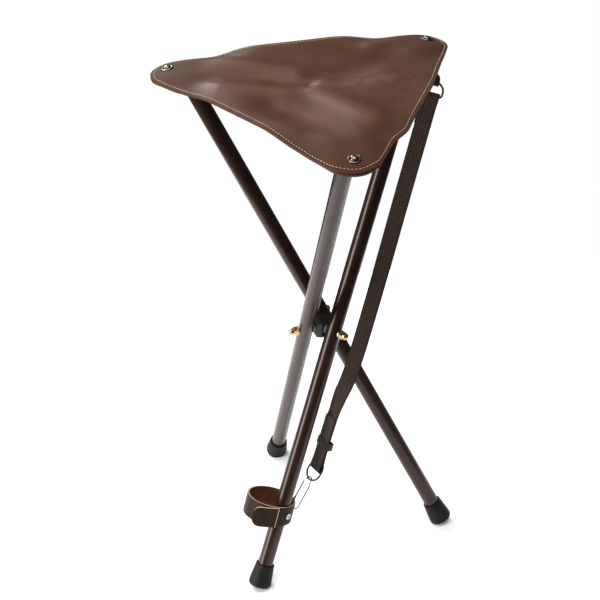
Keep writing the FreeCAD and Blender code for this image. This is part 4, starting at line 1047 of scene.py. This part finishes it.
def corner_sleeve(corner):
    """The pocket's short sleeve round the tube, cut off under the flange."""
    pivot, up = leg_line(corner)
    inner = TUBE_RADIUS + LEATHER_GAP
    outer = inner + POCKET_THICKNESS
    low = LEG_TOP - SLEEVE_LENGTH
    high = LEG_TOP + SLEEVE_SPARE
    # Down the inside, round the soft lower edge, and up the outside with a slight dent.
    profile = [
        (inner, high), (inner, low + 0.0004), (inner + 0.0005, low), (outer - 0.0008, low),
        (outer, low + 0.0008), (outer, low + 0.006), (outer - 0.0002, low + 0.01), (outer, high),
        (inner, high)]
    bm = lathe(profile, frame_along(pivot, up), 48)
    place, normal = rivet_seat(corner)
    layers = SEAT_THICKNESS + LEATHER_GAP + POCKET_THICKNESS / 2
    cut_behind(bm, place - normal * layers, -normal)
    piece = add_piece(f"sleeve_{corner}", bm)
    dress(piece, "seat_leather", SEAT_LEATHER)
    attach(piece, f"leg_{corner}")
    return piece


print("Sleeve faces:", [len(corner_sleeve(corner).data.polygons) for corner in CORNERS])

# %% [markdown]
# ## Belt leather
# The belt and the ring's tab are nearly black leather, polished by handling, with scuffs from use. The
# seat's finish in another colour could serve, but it asks for marks that only the seat and its pockets
# have. The flesh side and the cut edge come from the functions above, in orange brown and in pale tan.

# %% Belt leather


def belt_leather():
    """The outside of the belt and the tab, with long scuffs."""
    material, shader, wire = start_finish("belt_leather", Specular_IOR_Level=0.12)
    place = object_place(wire)
    drift = noise(wire, place, 55, 4).between(0.3, 0.7)
    pores = cells(wire, place, 900)
    scuff = noise(wire, stretched(wire, place, 1, 1, 0.25), 420, 3).between(0.56, 0.74)
    base = drift.colours(colour(0.0115, 0.0054, 0.0032), colour(0.025, 0.0128, 0.0076))
    base = (scuff * 0.5).colours(base, colour(0.05, 0.031, 0.021))
    wire.feed(shader.inputs["Base Color"], base)
    wire.feed(shader.inputs["Roughness"], 0.36 + 0.2 * drift + 0.1 * scuff)
    bump(wire, shader, pores * 0.5 + drift * 0.3, 0.0003, 0.7)
    return material


BELT_LEATHER = belt_leather()
BELT_FLESH = flesh_side("belt_flesh", colour(0.032, 0.008, 0.0024), colour(0.095, 0.028, 0.009))
BELT_EDGE = cut_edge("belt_edge", colour(0.3, 0.15, 0.075), colour(0.62, 0.38, 0.23))
print("Leather of the belt:", BELT_LEATHER.name, BELT_FLESH.name, BELT_EDGE.name)

# %% [markdown]
# ## The ring's tab
# A narrow leather strip is sewn under the seat's edge, runs down round the ring's bow and comes back up.
# Two flat straps and a bend could be put together, but one strip along a spline has no joints to hide. It
# is twisted on its way, because the ring stands across the seat's edge.

# %% Ring tab
TAB_EDGE = Vector((0.139279, 0.018762, 0.669357))
TAB_OUT = Vector((0.866, -0.5, 0))
TAB_ALONG = Vector((0.5, 0.866, 0))
RING_BOW = Vector((0.142799, 0.016926, 0.650366))
RING_UP = Vector((0.23859, -0.12905, 0.96251))
TAB_FACE = RING_UP.cross(STRAP_ACROSS)
TAB_WIDTH = 0.009
TAB_THICKNESS = 0.0018
TAB_COLUMNS = 4
TAB_STEPS = 10
TAB_TWIST_ENDS = (RING_BOW.z + 0.003, TAB_EDGE.z - 0.006)


def tab_root(inward, below):
    """A point under the seat's edge, inward from it and below the upper side."""
    return TAB_EDGE - TAB_OUT * inward - Vector((0, 0, below))


def tab_side(place):
    """Direction of the tab's width: along the ring's bow below, along the seat's edge above."""
    share = smooth(place.z, *TAB_TWIST_ENDS)
    return (STRAP_ACROSS * (1 - share) + TAB_ALONG * share).normalized()


def ring_tab():
    """The strip from the seat's edge round the ring and back."""
    places = read_route("tab_route", [
        tab_root(0.022, 0.0048),
        tab_root(0.004, 0.0048),
        RING_BOW + RING_UP * 0.006 + TAB_FACE * 0.0018,
        RING_BOW + TAB_FACE * 0.0033,
        RING_BOW - RING_UP * 0.0036 + TAB_FACE * 0.0026,
        RING_BOW - RING_UP * 0.0036 - TAB_FACE * 0.0026,
        RING_BOW - TAB_FACE * 0.0033,
        RING_BOW + RING_UP * 0.006 - TAB_FACE * 0.0018,
        tab_root(0.007, 0.0072),
        tab_root(0.022, 0.0072),
    ], TAB_STEPS)
    sides = [tab_side(place) for place in places]
    bm = strip_mesh(places, sides, [TAB_WIDTH] * len(places), TAB_THICKNESS, TAB_COLUMNS)
    piece = add_piece("tab_strip", bm)
    dress(piece, "belt_leather", BELT_LEATHER)
    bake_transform(piece)
    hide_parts("ring_tab")
    return piece


print("Tab points:", len(ring_tab().data.vertices))

# %% [markdown]
# ## The closing belt
# A belt of thick leather goes round the folded legs when the stool is carried. Here it hangs as a loop on
# one leg. Its outside is nearly black, the flesh side is orange brown and the cut edges are pale. A bent
# strip could make the loop, but it would need closing, so the loop is a spun profile with softened edges.

# %% Belt band
BELT_CENTRE = Vector((-0.090049, -0.04875, 0.098355))
BELT_X = Vector((0.59482, -0.80386, 0))
BELT_Y = Vector((0.7383, 0.54631, -0.39555))
BELT_Z = Vector((0.31796, 0.23528, 0.91845))
BELT_INSIDE = 0.03
BELT_THICKNESS = 0.0026
BELT_WIDTH = 0.027
BELT_SOFT = 0.0005


def sort_belt_faces(bm):
    """Outside, cut edge and flesh side, by how a face looks from the belt's axis."""
    for face in bm.faces:
        offset = face.calc_center_median() - BELT_CENTRE
        outward = (offset - BELT_Z * offset.dot(BELT_Z)).normalized()
        face.material_index = leather_side(face, outward)


def belt_band():
    """The closed loop."""
    outer = BELT_INSIDE + BELT_THICKNESS
    half = BELT_WIDTH / 2
    profile = [
        (BELT_INSIDE, -half + BELT_SOFT), (BELT_INSIDE, half - BELT_SOFT),
        (BELT_INSIDE + BELT_SOFT, half), (outer - BELT_SOFT, half),
        (outer, half - BELT_SOFT), (outer, -half + BELT_SOFT),
        (outer - BELT_SOFT, -half), (BELT_INSIDE + BELT_SOFT, -half),
        (BELT_INSIDE, -half + BELT_SOFT)]
    turn = Matrix((BELT_X, BELT_Y, BELT_Z)).transposed().to_4x4()
    bm = lathe(profile, Matrix.Translation(BELT_CENTRE) @ turn, 96)
    sort_belt_faces(bm)
    piece = add_piece("belt_band", bm)
    dress(piece, "belt_leather", BELT_LEATHER, BELT_EDGE, BELT_FLESH)
    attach(piece, "leg_right")
    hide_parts("closing_belt")
    return piece


print("Belt faces:", len(belt_band().data.polygons))

# %% [markdown]
# ## The belt's tongue
# The belt's free end overlaps the loop and stands off from it. It is a strip again, along a spline that
# leaves the loop little by little. The strip's width follows a circle towards its end, which rounds the
# end. Where it is sewn on, a thin bevel shows the pale inside of the leather.

# %% Belt tongue
TONGUE_ROUND = 0.01
TONGUE_BEVEL = 0.0011
TONGUE_COLUMNS = 8
TONGUE_STEPS = 16
# Angle in degrees round the loop, and how far the tongue stands off there.
TONGUE_LIFT = ((-32, 0.0004), (-42, 0.0012), (-52, 0.0034), (-62, 0.0066), (-71, 0.0094), (-79, 0.0108))


def belt_place(angle, radius):
    """A point at the middle of the belt's width, by its angle in degrees and its radius."""
    turn = math.radians(angle)
    return BELT_CENTRE + (BELT_X * math.cos(turn) + BELT_Y * math.sin(turn)) * radius


def tongue_width(left):
    """Width of the tongue where this much of its length is left."""
    left = min(left, TONGUE_ROUND)
    rounded = math.sqrt(TONGUE_ROUND ** 2 - (TONGUE_ROUND - left) ** 2)
    return BELT_WIDTH - 2 * TONGUE_ROUND + 2 * rounded


def belt_tongue():
    """The overlapping end: it stands off, has a rounded end and a pale bevel where it is sewn on."""
    middle = BELT_INSIDE + 1.5 * BELT_THICKNESS + LEATHER_GAP
    points = [belt_place(angle, middle + lift) for angle, lift in TONGUE_LIFT]
    places = read_route("tongue_route", points, TONGUE_STEPS)
    widths = [tongue_width((place - places[-1]).length) for place in places]
    bm = strip_mesh(places, [BELT_Z] * len(places), widths, BELT_THICKNESS, TONGUE_COLUMNS)
    bmesh.ops.recalc_face_normals(bm, faces=bm.faces[:])
    sort_belt_faces(bm)
    along = (places[1] - places[0]).normalized()
    for face in bm.faces:
        if (face.calc_center_median() - places[0]).dot(along) < TONGUE_BEVEL:
            face.material_index = CUT_SIDE
    piece = add_piece("belt_tongue", bm)
    dress(piece, "belt_leather", BELT_LEATHER, BELT_EDGE, BELT_FLESH)
    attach(piece, "leg_right")
    return piece


print("Tongue faces:", len(belt_tongue().data.polygons))

# %% [markdown]
# ## Lacquer and rubber
# The tubes have a dark brown lacquer with a clear gloss on top. The shader's own coat stands for the
# gloss, because it reflects on its own and leaves the brown below as it is. The feet are black rubber that
# holds some dust.

# %% Lacquer and rubber


def tube_lacquer():
    gloss = {"Coat_Weight": 0.3, "Coat_Roughness": 0.07}
    depth = {"Specular_IOR_Level": 0.32, "Specular_Tint": colour(1.0, 0.72, 0.64)}
    material, shader, wire = start_finish("tube_lacquer", **gloss, **depth)
    place = object_place(wire)
    flow = noise(wire, stretched(wire, place, 1, 1, 0.2), 60, 3).between(0.3, 0.7)
    specks = noise(wire, place, 1400, 2).between(0.62, 0.75)
    base = flow.colours(colour(0.0115, 0.0032, 0.0022), colour(0.019, 0.006, 0.0042))
    base = (specks * 0.3).colours(base, colour(0.05, 0.026, 0.02))
    wire.feed(shader.inputs["Base Color"], base)
    wire.feed(shader.inputs["Roughness"], 0.3 + 0.1 * flow + 0.1 * specks)
    bump(wire, shader, noise(wire, place, 260, 2), 0.0001, 0.3)
    return material


def foot_rubber():
    material, shader, wire = start_finish("foot_rubber", Specular_IOR_Level=0.18)
    place = object_place(wire)
    dust = noise(wire, place, 130, 5, 0.65).between(0.45, 0.75)
    skin = noise(wire, place, 1100, 3)
    base = dust.colours(colour(0.0048, 0.0046, 0.0042), colour(0.0145, 0.0136, 0.0115))
    wire.feed(shader.inputs["Base Color"], base)
    wire.feed(shader.inputs["Roughness"], 0.52 + 0.25 * dust)
    bump(wire, shader, skin + dust, 0.0002, 0.5)
    return material


TUBE_LACQUER = tube_lacquer()
FOOT_RUBBER = foot_rubber()
print("Finishes of the legs:", TUBE_LACQUER.name, FOOT_RUBBER.name)

# %% [markdown]
# ## Plastic
# The hub, the plugs in the tube ends, the bushes and the inner washers are moulded plastic. A mould leaves a
# fine matt texture, which a net of very small cells stands for.

# %% Plastic


def moulded(name, dark, light, rough):
    """Moulded plastic with a fine matt texture."""
    material, shader, wire = start_finish(name, Specular_IOR_Level=0.4)
    place = object_place(wire)
    texture = cells(wire, place, 1500)
    drift = noise(wire, place, 80, 3)
    wire.feed(shader.inputs["Base Color"], drift.colours(dark, light))
    wire.feed(shader.inputs["Roughness"], rough + 0.15 * drift)
    bump(wire, shader, texture, 0.0001, 0.5)
    return material


HUB_PLASTIC = moulded("hub_plastic", colour(0.009, 0.009, 0.01), colour(0.022, 0.022, 0.023), 0.38)
NYLON = moulded("nylon", colour(0.4, 0.38, 0.34), colour(0.55, 0.53, 0.48), 0.4)
PLUG_PLASTIC = moulded("plug_plastic", colour(0.012, 0.011, 0.011), colour(0.028, 0.026, 0.025), 0.45)
print("Plastics:", HUB_PLASTIC.name, NYLON.name, PLUG_PLASTIC.name)

# %% [markdown]
# ## Finishes of the CAD pieces
# The remaining pieces keep their CAD shape, which is exact and needs nothing more. Each takes the finish of
# its kind. A node's name starts with its kind, so a short list serves all of them, also those that come
# three times.

# %% CAD finishes
CAD_FINISHES = {
    "leg_tube": TUBE_LACQUER,
    "rubber_foot": FOOT_RUBBER,
    "hub_block": HUB_PLASTIC,
    "pivot_bush": NYLON,
    "top_plug": PLUG_PLASTIC,
    "cap_nuts": BRASS,
    "outer_washers": STEEL,
    "inner_washers": NYLON,
    "pivot_studs": STEEL,
    "foot_disc": STEEL,
    "rivet_burr": DARK_METAL,
    "seat_ring": DARK_METAL,
    "clip_ring": DARK_METAL,
    "strap_slider": DARK_METAL,
    "snap_hook": NICKEL,
    "hook_gate": NICKEL,
    "belt_eyelet": STEEL,
}
finished = []
for name, node in frame["nodes"].items():
    for kind, finish in CAD_FINISHES.items():
        if name.startswith(kind):
            node.data.materials.clear()
            node.data.materials.append(finish)
            finished.append(name)
print("CAD pieces with a finish:", len(finished))

# %% [markdown]
# ## Lamps
# The light in the photograph is soft. Small lamps would draw hard shadows, so the three here are large
# rectangles that look at the stool. The one at the left draws the bright line along the tubes, and the
# one behind gives the leather its soft shine.

# %% Lamps
AIM = Vector((0.0, 0.0, 0.36))


def soft_lamp(name, place, width, height, power):
    """A large rectangular lamp that looks at the stool."""
    lamp = bpy.data.lights.new(name, "AREA")
    lamp.shape = "RECTANGLE"
    lamp.size = width
    lamp.size_y = height
    lamp.energy = power
    holder = bpy.data.objects.new(name, lamp)
    scene.collection.objects.link(holder)
    turn = (place - AIM).to_track_quat("Z", "Y").to_matrix().to_4x4()
    holder.matrix_world = Matrix.Translation(place) @ turn
    return lamp


lamps = [
    soft_lamp("top_lamp", Vector((-0.3, -0.2, 2.6)), width=1.6, height=1.6, power=52),
    soft_lamp("left_lamp", Vector((-2.0, -0.45, 0.7)), width=0.9, height=1.5, power=46),
    soft_lamp("back_lamp", Vector((-0.8, 2.2, 1.65)), width=1.2, height=0.9, power=64),
]
print("Lamp power in watts:", sum(lamp.energy for lamp in lamps))

# %% [markdown]
# ## Floor and surroundings
# The stool stands on a white ground with hardly any shadow. The floor is a small square of pale paper,
# because a wide bright floor would shine on the dark tubes from below and turn them grey. Beyond it the
# surroundings are white to the camera, so its edge doesn't show. A Light Path node tells the camera's rays
# from others, so that surfaces and reflections get less of that white.

# %% Floor and surroundings
FLOOR_HALF = 0.62
SURFACE_LIGHT = 0.6
MIRROR_LIGHT = 0.09


def paper_floor():
    """A square of matt white paper."""
    bm = bmesh.new()
    bmesh.ops.create_grid(bm, x_segments=1, y_segments=1, size=FLOOR_HALF)
    floor = add_piece("floor", bm)
    material, shader, wire = start_finish("floor_paper", Roughness=0.9, Specular_IOR_Level=0.0)
    fibre = noise(wire, object_place(wire), 300, 2)
    pale = fibre.colours(colour(0.9, 0.9, 0.9), colour(0.94, 0.94, 0.94))
    wire.feed(shader.inputs["Base Color"], pale)
    floor.data.materials.append(material)
    return floor


def white_surroundings():
    """White to the camera, a plain level of light on surfaces and another in reflections."""
    world = bpy.data.worlds.new("surroundings")
    world.use_nodes = True
    scene.world = world
    wire = Wire(world.node_tree)
    seen = wire.node("ShaderNodeLightPath", {}, {}, "Is Camera Ray")
    mirrored = wire.node("ShaderNodeLightPath", {}, {}, "Is Glossy Ray")
    strength = seen + (1 - seen) * (mirrored * MIRROR_LIGHT + (1 - mirrored) * SURFACE_LIGHT)
    background = world.node_tree.nodes["Background"]
    background.inputs["Color"].default_value = colour(1, 1, 1)
    wire.feed(background.inputs["Strength"], strength)


floor = paper_floor()
white_surroundings()
scene.view_settings.view_transform = "Standard"
print("Floor width in metres:", round(floor.dimensions.x, 2))
